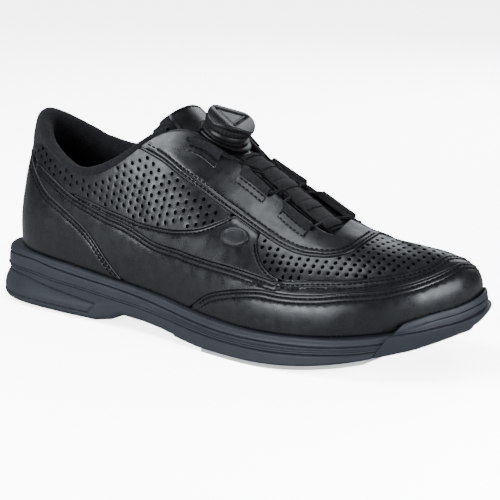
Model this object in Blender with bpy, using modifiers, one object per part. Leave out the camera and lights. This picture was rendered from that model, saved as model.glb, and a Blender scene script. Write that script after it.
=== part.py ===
# Bowling shoe, right foot. Blender 4.5, metres, +X to the toe, +Y to the inner side, +Z up.
# The origin is the centre of the heel's ground-contact face.
import math

import bmesh
import bpy
import numpy as np
from mathutils import Matrix, Vector

MM = 0.001
BACK_TO_HEEL_CENTRE = 36.0
UPPER_THICKNESS = 1.4
BASE_LIFT = -0.5
OVERLAY_LIFT = 0.3
LINING_DEPTH = 3.9
LINING_THICKNESS = 0.8
SEAM_GAP = 0.008
THROAT_END = 2.85
VAMP_END = 2.05
SLIDE_THICKNESS = 1.5
HEEL_PAD_THICKNESS = 2.0
BOARD_THICKNESS = 2.0
FOOTBED_THICKNESS = 4.0
STRAP_WIDTH = 12.6
LACE_RADIUS = 0.65
EYE_RADIUS = 1.15
WEBBING = 1.0
DIAL_CENTRE = (150.4, 0.0, 102.7)
DIAL_TILT = math.radians(25.0)
KNOB_RADIUS = 12.5
SPOOL_RADIUS = 9.8
HOUSING_RADIUS = 11.6
FLANGE_HALVES = (16.5, 11.0)
POST_RADIUS = 2.3
BORE = 2.38
TONGUE_HINGE = (227.0, 0.0, 59.5)

# Last surface: station rows from the toe tip by the outer side to the heel (row 10) and back.
# foot x y z, top x y z, rise, bulge, run, drop, heading of the top handle in degrees.
ROWS = [
    ((296, 9, 31), (262, 4, 61.3), 0.62, 7.3, 0.86, 0.08, 0),
    ((287, -14, 27), (257, 3.5, 61.0), 0.60, 6.6, 0.86, 0.06, -30),
    ((266, -34, 22), (246, 2.5, 63.3), 0.56, 5, 0.80, 0.07, -62),
    ((235, -46, 19), (226, 1, 69.7), 0.50, 4, 0.70, 0.10, -84),
    ((200, -46.5, 17.5), (200, 0, 84.0), 0.46, 4, 0.56, 0.13, -92),
    ((165, -41, 19), (170, 0, 102.5), 0.46, 4, 0.50, 0.13, -95),
    ((130, -35, 23), (141, -19, 113.0), 0.44, 4, 0.30, 0.26, -93),
    ((95, -31.5, 26), (104, -29, 93.0), 0.40, 4, 0.10, 0.36, -90),
    ((60, -28.5, 29), (68, -27.5, 83.0), 0.38, 3, 0.10, 0.36, -95),
    ((29, -23, 33), (37, -18, 96.0), 0.36, 3, 0.10, 0.24, -130),
    ((13, 0, 35), (23, 0, 105.2), 0.36, 2, 0.10, 0.20, -180),
    ((29, 23, 33), (37, 18, 96.5), 0.36, 3, 0.10, 0.24, -230),
    ((60, 28, 29), (68, 27, 85.2), 0.38, 3, 0.10, 0.36, -265),
    ((95, 27, 26), (104, 28, 94.6), 0.40, 6, 0.10, 0.36, -270),
    ((130, 28, 23), (141, 19, 113.0), 0.44, 6, 0.30, 0.26, -267),
    ((165, 34, 20), (170, 0, 102.5), 0.46, 5, 0.50, 0.13, -265),
    ((200, 43, 18.5), (200, 0, 84.0), 0.46, 4, 0.57, 0.12, -268),
    ((235, 46, 19.5), (226, 1, 69.7), 0.50, 2.8, 0.51, 0.18, -276),
    ((268, 40, 23), (246, 2.5, 63.3), 0.54, 3.8, 0.54, 0.17, -298),
    ((289, 27, 27), (257, 3.5, 61.0), 0.60, 6.3, 0.89, 0.12, -330),
]
# Seam heights on that surface: station, share of the way from the sole (0) to the ridge (1).
COUNTER_EDGE = [(6.68, 0.0), (7, 0.125), (7.4, 0.335), (7.7, 0.45), (8.1, 0.545), (8.5, 0.58),
                (8.84, 0.625), (9.12, 0.65), (9.42, 0.67)]
SIDE_SEAM = [(0, 0.655), (0.6, 0.575), (1.02, 0.52), (1.5, 0.475), (1.9, 0.44), (2.4, 0.405), (2.9, 0.37),
             (3.4, 0.32), (3.8, 0.315), (4.34, 0.29), (4.86, 0.255), (5.45, 0.235), (6.1, 0.25),
             (6.97, 0.455), (7.57, 0.63), (7.96, 0.70), (8.44, 0.74), (9.12, 0.70), (9.42, 0.68)]
QUARTER_LOW = [(4.6, 0.54), (4.82, 0.46), (5.1, 0.385), (5.45, 0.335), (5.8, 0.315), (6.1, 0.325),
               (6.46, 0.37), (7, 0.515), (7.52, 0.665), (7.96, 0.73)]
APRON_EDGE = [(2.0, 1.0), (2.13, 0.915), (2.3, 0.79), (2.45, 0.695), (2.58, 0.65), (2.77, 0.605), (3, 0.58),
              (3.2, 0.56), (3.5, 0.55), (4, 0.548), (4.5, 0.54), (4.8, 0.535), (5.2, 0.545), (5.72, 0.595),
              (6, 0.66), (6.3, 0.77), (6.58, 0.895)]
VAMP_LOW = [(0, 0.70), (0.36, 0.675), (0.9, 0.59), (1.34, 0.535), (1.9, 0.475), (2.4, 0.43), (2.9, 0.395),
            (3.4, 0.345), (3.55, 0.355), (3.77, 0.385), (3.94, 0.40), (4.07, 0.44)]
MUDGUARD_TOP = [(0, 0.555), (0.3, 0.53), (0.9, 0.46), (1.38, 0.40), (1.9, 0.35), (2.4, 0.325), (2.86, 0.285),
                (3.38, 0.255), (3.77, 0.24), (4.09, 0.205), (4.48, 0.15), (4.82, 0.095), (5.04, 0.04),
                (5.17, 0.01)]
COLLAR_LINE = [(6.4, 0.895), (6.9, 0.895), (7.3, 0.88), (7.53, 0.895), (7.8, 0.92), (8.04, 0.935), (8.3, 0.95),
               (8.7, 0.955), (9.4, 0.955), (10, 0.955)]
THROAT_EDGE = [(2.85, 0.80), (3, 0.79), (3.5, 0.80), (4, 0.80), (4.5, 0.79), (5, 0.80), (5.5, 0.84), (6, 0.90),
               (6.3, 0.94), (6.58, 0.96)]
# Sole outline in plan from the heel back by the outer side to the toe tip (point 12) and back.
OUTLINE = [(0, 0), (6, -17), (24, -30), (50, -34.3), (80, -35.6), (110, -37.5), (145, -42.6), (180, -49.2),
           (212, -52.5), (245, -49), (271, -37.5), (291, -17.5), (302, 10), (296, 28), (279, 42.5),
           (254, 49.8), (226, 50.8), (195, 46.5), (160, 38), (125, 31.3), (92, 30), (60, 32.5), (30, 31), (6, 18)]
# Sole heights against x: upper seat, groove, thin ridge, rubber's lower edge.
SEAT = [(0, 34.4), (12, 34.2), (30, 32.2), (60, 28.2), (95, 25.2), (130, 22.2), (165, 18.2), (200, 16.7),
        (235, 18.0), (266, 20.4), (278, 22.8), (290, 26.5), (302, 30.2)]
GROOVE = [(0, 29.8), (20, 29.5), (36, 28.0), (56, 25.4), (73, 23.8), (96, 22.0), (127, 19.2), (140, 17.6),
          (165, 14.6), (190, 13.4), (215, 13.8), (251, 15.6), (277, 19.4), (302, 28)]
RIDGE = [(0, 22.4), (20, 22), (39, 21), (56, 19.3), (80, 17.8), (103, 15.9), (127, 14.2), (140, 13.0),
         (165, 10.6), (190, 9.6), (215, 9.8), (251, 12.4), (268, 14.6), (302, 25.5)]
SEAT_INSET = [(0, 8), (60, 7), (110, 6), (160, 5), (250, 5.5), (302, 6)]
BAND_INSET = [(0, 3.4), (60, 3.2), (110, 1.6), (160, 1.0), (302, 1.0)]
# Toe piece heights against the distance from the toe tip in outline points.
TOE_BOTTOM = [(0, 19.8), (0.6, 16.0), (1.1, 13.8), (1.6, 11.4), (2.2, 8.6), (3, 6)]
TOE_SLAB = [(0, 30.6), (0.3, 30.2), (0.5, 28.9), (0.87, 27.6), (1.2, 26), (1.6, 24), (2.2, 20), (3, 14)]
TOE_LIP = [(0, 38.4), (0.3, 37.4), (0.5, 36.2), (0.87, 35), (1.03, 34), (1.22, 31.4), (1.6, 27.6), (3, 20)]
# Tongue: centre line x z, half width, crown drop at the edge, padding thickness.
TONGUE = [(226, 61.3, 6.8, 0.8, 2.0), (213, 68.2, 8.0, 1.2, 2.3), (199, 76.6, 8.5, 1.7, 2.8),
          (184, 86.0, 8.5, 2.0, 3.0), (169, 93.7, 8.8, 2.3, 3.2), (157, 99.3, 10.6, 2.1, 3.6),
          (146, 104.4, 13.5, 2.6, 4.0), (137, 108.9, 17.5, 5.2, 5.0), (130.5, 112.4, 20.0, 8.0, 6.5),
          (125, 115.2, 21.0, 9.0, 7.5), (120, 117.2, 19.5, 8.5, 6.5), (116.8, 117.8, 16.5, 6.5, 3.5)]


def clear_scene():
    for obj in list(bpy.data.objects):
        bpy.data.objects.remove(obj, do_unlink=True)


def collection(name, hidden=False):
    made = bpy.data.collections.new(name)
    bpy.context.scene.collection.children.link(made)
    made.hide_render = hidden
    return made


def material(name, colour, roughness, metallic=0.0):
    made = bpy.data.materials.new(name)
    made.use_nodes = True
    node = made.node_tree.nodes["Principled BSDF"]
    node.inputs["Base Color"].default_value = (*colour, 1.0)
    node.inputs["Roughness"].default_value = roughness
    node.inputs["Metallic"].default_value = metallic
    made.diffuse_color = (*colour, 1.0)
    return made


def metres(point):
    return ((point[0] - BACK_TO_HEEL_CENTRE) * MM, point[1] * MM, point[2] * MM)


def table(rows, x):
    rows = np.asarray(rows, float)
    return np.interp(x, rows[:, 0], rows[:, 1])


def periodic(values):
    """A closed cubic spline through the values: the values and their second derivatives."""
    values = np.asarray(values, float)
    n = len(values)
    system = np.zeros((n, n))
    for i in range(n):
        system[i, i] = 4
        system[i, (i - 1) % n] = 1
        system[i, (i + 1) % n] = 1
    bend = np.linalg.solve(system, 6 * (np.roll(values, -1, 0) - 2 * values + np.roll(values, 1, 0)))
    return values, bend


def along(spline, s):
    values, bend = spline
    n = len(values)
    s = s % n
    i = int(s) % n
    j = (i + 1) % n
    t = s - int(s)
    u = 1 - t
    return u * values[i] + t * values[j] + ((u ** 3 - u) * bend[i] + (t ** 3 - t) * bend[j]) / 6


def last_splines():
    foot = np.array([row[0] for row in ROWS], float)
    top = np.array([row[1] for row in ROWS], float)
    step = np.roll(foot, -1, 0) - np.roll(foot, 1, 0)
    out = np.c_[step[:, 1], -step[:, 0]]
    out /= np.linalg.norm(out, axis=1)[:, None]
    if ((foot[:, :2] - foot[:, :2].mean(0)) * out).sum() < 0:
        out = -out
    low = []
    high = []
    for k, (_, _, rise, bulge, run, drop, heading) in enumerate(ROWS):
        height = top[k, 2] - foot[k, 2]
        width = np.linalg.norm((foot[k] - top[k])[:2])
        angle = math.radians(heading)
        low.append(foot[k] + [out[k, 0] * bulge, out[k, 1] * bulge, rise * height])
        reach = width * run
        high.append(top[k] + [math.cos(angle) * reach, math.sin(angle) * reach, -drop * height])
    return [periodic(points) for points in (foot, np.array(low), np.array(high), top)]


LAST = last_splines()
EDGE = periodic(OUTLINE)


def on_last(s, v):
    a, b, c, d = (along(spline, s) for spline in LAST)
    u = 1 - v
    return u ** 3 * a + 3 * u * u * v * b + 3 * u * v * v * c + v ** 3 * d


def last_normal(s, v):
    v = min(max(v, 0.01), 0.985)
    side = on_last(s + 0.01, v) - on_last(s - 0.01, v)
    up = on_last(s, v + 0.01) - on_last(s, v - 0.01)
    normal = np.cross(up, side)
    return normal / np.linalg.norm(normal)


def skin(s, v, lift):
    """A point of the upper, lifted off the last. On the ridge both sides share one point."""
    if v >= 1.0:
        point = (on_last(s, 1.0) + on_last(20 - s, 1.0)) / 2
        normal = last_normal(s, 1.0) + last_normal(20 - s, 1.0)
        return point + normal / np.linalg.norm(normal) * lift
    return on_last(s, v) + last_normal(s, v) * lift


def new_object(name, mesh, paint, where):
    obj = bpy.data.objects.new(name, mesh)
    mesh.materials.append(paint)
    where.objects.link(obj)
    return obj


def mesh_from(name, points, faces):
    mesh = bpy.data.meshes.new(name)
    mesh.from_pydata([metres(p) for p in points], [], faces)
    bm = bmesh.new()
    bm.from_mesh(mesh)
    bmesh.ops.remove_doubles(bm, verts=bm.verts, dist=0.00002)
    bmesh.ops.recalc_face_normals(bm, faces=bm.faces)
    bm.to_mesh(mesh)
    bm.free()
    return mesh


def thicken(obj, thickness):
    solid = obj.modifiers.new("Thickness", "SOLIDIFY")
    solid.thickness = thickness * MM
    solid.offset = -1.0
    solid.use_even_offset = True
    solid.use_quality_normals = True


def sheet(name, strips, thickness, paint, where, outward=None):
    """Leather or cloth: each strip is a grid of rows of points. It becomes one solid, thickened inwards."""
    points = []
    faces = []
    for rows in strips:
        start = len(points)
        wide = len(rows[0])
        for row in rows:
            points.extend(row)
        for i in range(len(rows) - 1):
            for j in range(wide - 1):
                a = start + i * wide + j
                faces.append((a, a + 1, a + wide + 1, a + wide))
    mesh = mesh_from(name, points, faces)
    probe = mesh.polygons[len(mesh.polygons) // 2]
    centre = Vector(outward) if outward else Vector((0.12, 0.002, 0.03))
    if outward:
        inside = probe.normal.dot(centre) < 0
    else:
        inside = probe.normal.dot(probe.center - centre) < 0
    if inside:
        mesh.flip_normals()
    obj = new_object(name, mesh, paint, where)
    thicken(obj, thickness)
    return obj


def loft(name, rings, paint, where):
    """A closed solid through rings of equal point count, its ends closed by one face each."""
    wide = len(rings[0])
    points = [p for ring in rings for p in ring]
    faces = []
    for i in range(len(rings) - 1):
        for j in range(wide):
            a = i * wide + j
            b = i * wide + (j + 1) % wide
            faces.append((a, b, b + wide, a + wide))
    faces.append(tuple(range(wide)))
    last = (len(rings) - 1) * wide
    faces.append(tuple(last + j for j in reversed(range(wide))))
    return new_object(name, mesh_from(name, points, faces), paint, where)


def cut(obj, cutter, operation="DIFFERENCE"):
    boolean = obj.modifiers.new(cutter.name, "BOOLEAN")
    boolean.operation = operation
    boolean.solver = "EXACT"
    boolean.object = cutter


# ---------------------------------------------------------------- sole
def edge_point(q, inset):
    point = along(EDGE, q)
    step = along(EDGE, q + 0.02) - along(EDGE, q - 0.02)
    out = np.array([-step[1], step[0]]) / np.linalg.norm(step)
    side = 1 if np.dot(out, point - np.array([150, 0])) > 0 else -1
    return point - out * side * inset, point[0]


def sole_ring(height, inset, count=48):
    """A closed ring round the outline: height and inset are functions of x and of the outline position."""
    ring = []
    for k in range(count):
        q = 24 * k / count
        point, x = edge_point(q, 0)
        point, _ = edge_point(q, inset(x, q))
        ring.append((point[0], point[1], height(x, q)))
    return ring


def sole_body(name, rings, paint, where, across=4, top=None, bottom=None):
    """A solid of rings round the outline, its top and bottom closed by strips across the shoe."""
    wide = len(rings[0])
    half = wide // 2
    points = [p for ring in rings for p in ring]
    faces = []
    for i in range(len(rings) - 1):
        for j in range(wide):
            a = i * wide + j
            b = i * wide + (j + 1) % wide
            faces.append((a, b, b + wide, a + wide))
    for ring, rule in ((0, top), (len(rings) - 1, bottom)):
        base = ring * wide
        previous = [base] * (across + 1)
        for i in range(1, half):
            one = np.array(points[base + i])
            two = np.array(points[base + wide - i])
            row = [base + i]
            for k in range(1, across):
                share = k / across
                p = one * (1 - share) + two * share
                if rule:
                    p[2] = rule(p[0])
                points.append(tuple(p))
                row.append(len(points) - 1)
            row.append(base + wide - i)
            for k in range(across):
                face = [previous[k], previous[k + 1], row[k + 1], row[k]]
                face = [v for n, v in enumerate(face) if v != face[n - 1]]
                faces.append(tuple(face) if ring else tuple(reversed(face)))
            previous = row
        for k in range(across):
            face = (previous[k], previous[k + 1], base + half)
            faces.append(face if ring else tuple(reversed(face)))
    return new_object(name, mesh_from(name, points, faces), paint, where)


def ground(x):
    """Height of the walking face: flat under the ball, then the toe spring."""
    rise = np.clip((x - 198) / 104, 0, None)
    return 19.0 * rise * rise


def rubber_bottom(x):
    low = table([(0, 2.4), (20, 1.8), (64, 1.0), (88, 0.9), (100, 3.2), (108, 7.0), (125, 6.6), (139, 5.4),
                 (155, 3.2), (168, 1.9), (302, 1.9)], x)
    return low + (ground(x) if x > 160 else 0)


def toe_cutter(where, paint, offset, rear):
    """A slab of space in front of or behind the slanted toe seam."""
    bpy.ops.mesh.primitive_cube_add(size=1)
    box = bpy.context.object
    for owner in list(box.users_collection):
        owner.objects.unlink(box)
    box.name = "toe_seam_rear" if rear else "toe_seam_front"
    box.data.materials.append(paint)
    box.scale = (0.8, 0.3, 1.2)
    slant = math.atan2(11.9, 17.1)
    along_seam = Vector((math.cos(slant), 0, -math.sin(slant)))
    middle = Vector(metres((270.5 + offset, 0, 14.3)))
    box.location = middle + along_seam * (-0.4 if rear else 0.4)
    box.rotation_euler = (0, slant, 0)
    box.display_type = "WIRE"
    where.objects.link(box)
    return box


def build_sole(shoe, cutters, paints):
    helper = paints["helper"]
    front = toe_cutter(cutters, helper, 0.0, False)
    rear = toe_cutter(cutters, helper, 0.4, True)

    band = [
        (lambda x, q: table(SEAT, x), lambda x, q: table(SEAT_INSET, x)),
        (lambda x, q: table(SEAT, x) - 0.4, lambda x, q: table(SEAT_INSET, x) - 1.6),
        (lambda x, q: 0.5 * table(SEAT, x) + 0.5 * table(GROOVE, x), lambda x, q: table(BAND_INSET, x) + 0.6),
        (lambda x, q: table(GROOVE, x), lambda x, q: table(BAND_INSET, x) + 0.8),
        (lambda x, q: (table(GROOVE, x) + table(RIDGE, x)) / 2, lambda x, q: table(BAND_INSET, x) - 0.4),
        (lambda x, q: table(RIDGE, x), lambda x, q: table(BAND_INSET, x) - 0.6),
    ]
    midsole = sole_body("midsole", [sole_ring(h, i) for h, i in band], paints["rubber"], shoe,
                        top=lambda x: table(SEAT, x), bottom=lambda x: table(RIDGE, x))
    cut(midsole, front)

    block = [(0, 2.4), (90, 2.2), (104, 1.4), (160, 0.5), (302, 0.5)]
    wide = [(0, 0.0), (90, 0.2), (106, 1.2), (160, 0.5), (302, 0.5)]
    low_edge = [(0, 1.6), (90, 1.6), (160, 1.4), (302, 1.6)]
    walls = [
        (lambda x, q: table(RIDGE, x) - 0.3, lambda x, q: table(BAND_INSET, x) - 0.5),
        (lambda x, q: 0.8 * table(RIDGE, x) + 0.2 * rubber_bottom(x), lambda x, q: table(block, x)),
        (lambda x, q: 0.42 * table(RIDGE, x) + 0.58 * rubber_bottom(x), lambda x, q: table(wide, x)),
        (lambda x, q: 0.1 * table(RIDGE, x) + 0.9 * rubber_bottom(x), lambda x, q: table(wide, x) + 0.4),
        (lambda x, q: rubber_bottom(x), lambda x, q: table(low_edge, x) + 1.0),
    ]
    outsole = sole_body("outsole", [sole_ring(h, i) for h, i in walls], paints["rubber"], shoe,
                        top=lambda x: table(RIDGE, x) - 0.3, bottom=rubber_bottom)
    cut(outsole, front)

    toe = [
        (lambda x, q: table(SEAT, x) - 1.4, lambda x, q: 4.9),
        (lambda x, q: max(table(TOE_LIP, abs(q - 12)) - 3.2, table(SEAT, x) - 0.9), lambda x, q: 3.0),
        (lambda x, q: table(TOE_LIP, abs(q - 12)), lambda x, q: 2.0),
        (lambda x, q: table(TOE_LIP, abs(q - 12)) - 0.6, lambda x, q: 1.0),
        (lambda x, q: table(TOE_SLAB, abs(q - 12)) + 1.0, lambda x, q: 1.2),
        (lambda x, q: table(TOE_SLAB, abs(q - 12)), lambda x, q: -0.4),
        (lambda x, q: (table(TOE_SLAB, abs(q - 12)) + table(TOE_BOTTOM, abs(q - 12))) / 2, lambda x, q: 1.6),
        (lambda x, q: table(TOE_BOTTOM, abs(q - 12)), lambda x, q: table([(0, 5.5), (1.6, 2.6), (3, 2)], abs(q - 12))),
        (lambda x, q: ground(x) + 0.3, lambda x, q: 9.0),
    ]
    bumper = sole_body("toe_bumper", [sole_ring(h, i) for h, i in toe], paints["rubber"], shoe,
                       top=lambda x: table(SEAT, x) - 1.4, bottom=lambda x: ground(x) + 0.3)
    cut(bumper, rear)

    slide_plan = []
    for k in range(9):
        q = 6.72 + 0.39 * k
        slide_plan.append((edge_point(q, 3.2)[0], edge_point(24 - q, 3.2)[0]))
    rows = []
    for one, two in slide_plan:
        row = []
        for k in range(7):
            p = one * (1 - k / 6) + two * (k / 6)
            x = min(p[0], 265.5)
            row.append((x, p[1], ground(x)))
        rows.append(row)
    slide = sheet("slide_sole", [rows], SLIDE_THICKNESS, paints["slide"], shoe, outward=(0, 0, -1))
    slide.modifiers["Thickness"].use_even_offset = False

    pad = heel_plan(6.5)
    loft("heel_tread", [[(x, y, 0) for x, y in pad], [(x, y, HEEL_PAD_THICKNESS) for x, y in pad]],
         paints["tread"], shoe)
    pocket = heel_plan(6.1, 4.09)
    hole = loft("heel_pocket", [[(x, y, -3) for x, y in pocket],
                                [(x, y, HEEL_PAD_THICKNESS + 0.3) for x, y in pocket]], helper, cutters)
    hole.display_type = "WIRE"
    cut(outsole, hole)

    shank_rows(shoe, cutters, paints, midsole)
    for name, inset, low, high, paint in (
        ("insole_board", 6.2, 0.7, BOARD_THICKNESS, "board"),
        ("footbed", 6.4, 0.7 + BOARD_THICKNESS + 0.4, FOOTBED_THICKNESS, "footbed"),
    ):
        inner_sheet(name, inset, low, high, paints[paint], shoe)


def heel_plan(inset, reach=4.05):
    plan = []
    for k in range(-8, 9):
        q = reach * k / 8
        plan.append(tuple(edge_point(q % 24, inset)[0]))
    return plan


def shank_rows(shoe, cutters, paints, midsole):
    """Steel shank in a slot of the midsole's top, bent to its line."""
    for name, half, lift, high, paint, where in (
        ("shank", 7.0, -1.6, 1.1, paints["steel"], shoe),
        ("shank_slot", 7.4, -2.0, 5.0, paints["helper"], cutters),
    ):
        rings = []
        for k in range(9):
            x = 62 + 12.5 * k + (0 if name == "shank" else (k - 4) * 0.12)
            z = table(SEAT, x) + lift
            rings.append([(x, -half, z), (x, half, z), (x, half, z + high), (x, -half, z + high)])
        obj = loft(name, rings, paint, where)
    obj.display_type = "WIRE"
    cut(midsole, obj)


def inner_sheet(name, inset, low, thickness, paint, where):
    rows = []
    for k in range(21):
        s = 10 - 0.5 * k
        one = on_last(s, 0)
        two = on_last(20 - s, 0)
        middle = (one + two) / 2
        if not 19 < middle[0] < 283:
            continue
        span = np.linalg.norm((one - two)[:2])
        share = max(1 - 2 * inset / span, 0.1)
        row = []
        for j in range(5):
            t = (j / 2 - 1) * share
            p = middle + (two - one) / 2 * t
            row.append((p[0], p[1], middle[2] + low + thickness))
        rows.append(row)
    return sheet(name, [rows], thickness, paint, where, outward=(0, 0, 1))


# ---------------------------------------------------------------- upper
STATIONS = [0, 0.36, 0.9, 1.34, 1.7, 2.05, 2.13, 2.3, 2.45, 2.6, 2.85, 2.95, 3.2, 3.4, 3.6, 3.8, 4.07, 4.34,
            4.6, 4.82, 5.1, 5.17, 5.45, 5.8, 6.1, 6.3, 6.46, 6.58, 6.68, 7, 7.4, 7.7, 7.96, 8.3, 8.7, 9.0, 9.3,
            9.42, 9.7, 10]


def strip(ss, low, high, rows, lift, mirror=False):
    grid = []
    for s in ss:
        a = low(s)
        b = max(high(s), a + 0.012)
        grid.append([skin(20 - s if mirror else s, a + (b - a) * j / rows, lift) for j in range(rows + 1)])
    return grid


def curve(rows, shift=0.0):
    return lambda s: float(table(rows, s)) + shift


def feather(s):
    """The upper's lower edge, on the sole."""
    return 0.0


def stiffener_foot(s):
    return 0.06


def build_upper(shoe, paints):
    leather = paints["leather"]
    perforated = paints["perforated"]
    gap = SEAM_GAP
    full = UPPER_THICKNESS + OVERLAY_LIFT - BASE_LIFT

    counter = curve(COUNTER_EDGE)
    ss = [6.75, 7, 7.4, 7.7, 7.96, 8.3, 8.7, 9.0, 9.3, 9.45, 9.7, 10]
    ss += [20 - s for s in reversed(ss[:-1])]

    def counter_top(s):
        s = min(s, 20 - s)
        return counter(s) - gap if s < 9.4 else 0.945
    sheet("heel_counter", [strip(ss, feather, counter_top, 5, OVERLAY_LIFT)], full, leather, shoe)

    side = curve(SIDE_SEAM, -gap)
    mud = curve(MUDGUARD_TOP)

    def wrap_low(s):
        if s > 6.68:
            return counter(s) + gap
        return mud(s) + 2.5 * gap if s < 5.3 else 0.0
    ss = [s for s in STATIONS if s < 9.2 and s not in (2.13, 2.45, 2.95, 5.17, 6.3, 6.58)]
    outer = strip(ss, wrap_low, side, 2, BASE_LIFT)
    inner = strip(ss, wrap_low, side, 2, BASE_LIFT, True)
    sheet("side_wrap", [outer, inner], UPPER_THICKNESS, leather, shoe)

    quarter_low = curve(QUARTER_LOW)
    apron = curve(APRON_EDGE)
    vamp = curve(VAMP_LOW)
    side_high = curve(SIDE_SEAM, gap)

    def mid_high(s):
        if s > 4.6:
            return quarter_low(s) - gap
        return apron(s) - gap if s > 4.1 else vamp(s) - gap
    ss = [3.6, 3.8, 4.07, 4.12, 4.34, 4.6, 4.82, 5.1, 5.45, 5.8, 6.1, 6.46, 7, 7.4, 7.7]
    for name, mirror in (("mid_panel_outer", False), ("mid_panel_inner", True)):
        sheet(name, [strip(ss, side_high, mid_high, 3, BASE_LIFT, mirror)], UPPER_THICKNESS, leather, shoe)

    collar = curve(COLLAR_LINE)

    def quarter_bottom(s):
        if s < 7.96:
            return quarter_low(s) + gap
        return max(side_high(s), counter(s) + gap) if s < 9.12 else counter(s) + 2 * gap

    def quarter_top(s):
        return min(collar(s), apron(s) - gap) if s < 6.58 else collar(s)
    ss = [4.82, 5.1, 5.45, 5.8, 6.1, 6.3, 6.46, 6.68, 7, 7.4, 7.7, 7.96, 8.3, 8.7, 9.0, 9.3]
    for name, mirror in (("quarter_outer", False), ("quarter_inner", True)):
        sheet(name, [strip(ss, quarter_bottom, quarter_top, 4, BASE_LIFT, mirror)], UPPER_THICKNESS, perforated,
              shoe)

    throat = curve(THROAT_EDGE)

    def apron_high(s):
        return throat(s) if s > THROAT_END + 0.01 else 1.0
    ss = [2.13, 2.3, 2.45, 2.6, 2.8, 2.95, 3.2, 3.6, 4.07, 4.6, 5.1, 5.45, 5.8, 6.1, 6.3, 6.5]
    sheet("apron", [strip(ss, apron, apron_high, 4, OVERLAY_LIFT),
                    strip(ss, apron, apron_high, 4, OVERLAY_LIFT, True)], full, leather, shoe)

    def vamp_high(s):
        return apron(s) - gap if s > VAMP_END + 0.01 else 1.0
    ss = [0, 0.36, 0.9, 1.34, 1.7, 1.97, 2.13, 2.3, 2.45, 2.6, 2.8, 2.95, 3.2, 3.6, 3.8, 4.02]
    vamp_low = curve(VAMP_LOW, gap)
    sheet("vamp", [strip(ss, vamp_low, vamp_high, 4, BASE_LIFT),
                   strip(ss, vamp_low, vamp_high, 4, BASE_LIFT, True)],
          UPPER_THICKNESS, perforated, shoe)

    ss = [s for s in STATIONS if s < 5.15 and s not in (2.13, 2.45, 2.95)]
    sheet("toe_mudguard", [strip(ss, feather, mud, 3, OVERLAY_LIFT),
                           strip(ss, feather, mud, 3, OVERLAY_LIFT, True)], full, leather, shoe)


def build_linings(shoe, paints):
    cloth = paints["lining"]
    ss = [0, 0.5, 1, 1.5, 2, 2.4, 2.8, 2.95, 3.4, 3.8, 4.3, 4.8, 5.3, 5.8, 6.25]
    depth = -LINING_DEPTH

    def lining_top(s):
        return 0.76 + 0.1 * max(s - 5.3, 0) if s > THROAT_END else 1.0
    sheet("vamp_lining", [strip(ss, stiffener_foot, lining_top, 4, depth),
                          strip(ss, stiffener_foot, lining_top, 4, depth, True)],
          LINING_THICKNESS, cloth, shoe)

    ss = [0, 0.36, 0.9, 1.34, 1.7]

    def puff_top(s):
        return 0.58 - 0.08 * s
    sheet("toe_puff", [strip(ss, stiffener_foot, puff_top, 3, -2.65),
                       strip(ss, stiffener_foot, puff_top, 3, -2.65, True)], 0.6, paints["board"], shoe)

    ss = [7.8, 8.2, 8.6, 9, 9.35, 9.7, 10, 10.3, 10.65, 11, 11.4, 11.8, 12.2]

    def stiffener_top(s):
        return 0.5 - 0.03 * abs(s - 10)
    sheet("counter_stiffener", [strip(ss, stiffener_foot, stiffener_top, 3, -2.3)], 0.9, paints["board"], shoe)
    build_collar(shoe, paints)

    ss = [3.3, 3.8, 4.3, 4.8, 5.3]
    for name, mirror in (("gusset_outer", False), ("gusset_inner", True)):
        grid = strip(ss, lambda s: 0.62, lambda s: 0.755, 2, -2.75, mirror)
        sheet(name, [grid], 0.5, cloth, shoe)


def build_collar(shoe, paints):
    """The collar's lining runs over its top edge and down inside, round the padding."""
    ss = [6.6, 6.8, 7, 7.4, 7.8, 8.2, 8.6, 9, 9.35, 9.7, 10]
    ss += [20 - s for s in reversed(ss[:-1])]
    path = [(0.0, -0.5), (0.955, -0.6), (0.985, -0.8), (1.0, -2.8), (0.985, -5.4), (0.93, -8.0), (0.84, -8.8),
            (0.72, -7.6), (0.58, -5.8), (0.45, -4.9), (0.25, -4.7), (0.07, -4.7)]
    rows = []
    for s in ss:
        edge = float(table(COLLAR_LINE, min(s, 20 - s))) + 0.01
        share = min(max((min(s, 20 - s) - 6.6) / 0.9, 0.12), 1)
        row = []
        for n, (v, h) in enumerate(path):
            if n == 0:
                v = edge
            v = max(v, edge + 0.006 * n) if n < 3 else v
            deep = h if h > -4.7 else -4.7 + (h + 4.7) * share
            rise = 1.2 if n == 3 else 0.6 if n in (2, 4) else 0
            p = on_last(s, min(v, 0.985)) + last_normal(s, v) * deep
            if v > 0.985:
                p = on_last(s, 1.0) + last_normal(s, 1.0) * deep
            row.append((p[0], p[1], p[2] + rise))
        rows.append(row)
    sheet("collar_lining", [rows], LINING_THICKNESS, paints["lining"], shoe)

    rings = []
    ss = [7.0, 7.4, 7.8, 8.2, 8.6, 9, 9.35, 9.7, 10]
    ss += [20 - s for s in reversed(ss[:-1])]
    for s in ss:
        share = min(max((min(s, 20 - s) - 6.6) / 0.9, 0.12), 1)
        ring = []
        for v, h in ((0.95, -2.4), (0.86, -2.4), (0.72, -2.4), (0.6, -2.4)):
            ring.append(on_last(s, v) + last_normal(s, v) * h)
        for v, h in ((0.6, -3.8), (0.72, -5.6), (0.86, -7.2), (0.94, -6.4), (0.96, -4.2)):
            deep = -3.4 + (h + 3.4) * share
            ring.append(on_last(s, v) + last_normal(s, v) * min(deep, -3.2))
        rings.append([tuple(p) for p in ring])
    loft("collar_foam", rings, paints["foam"], shoe)


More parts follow.
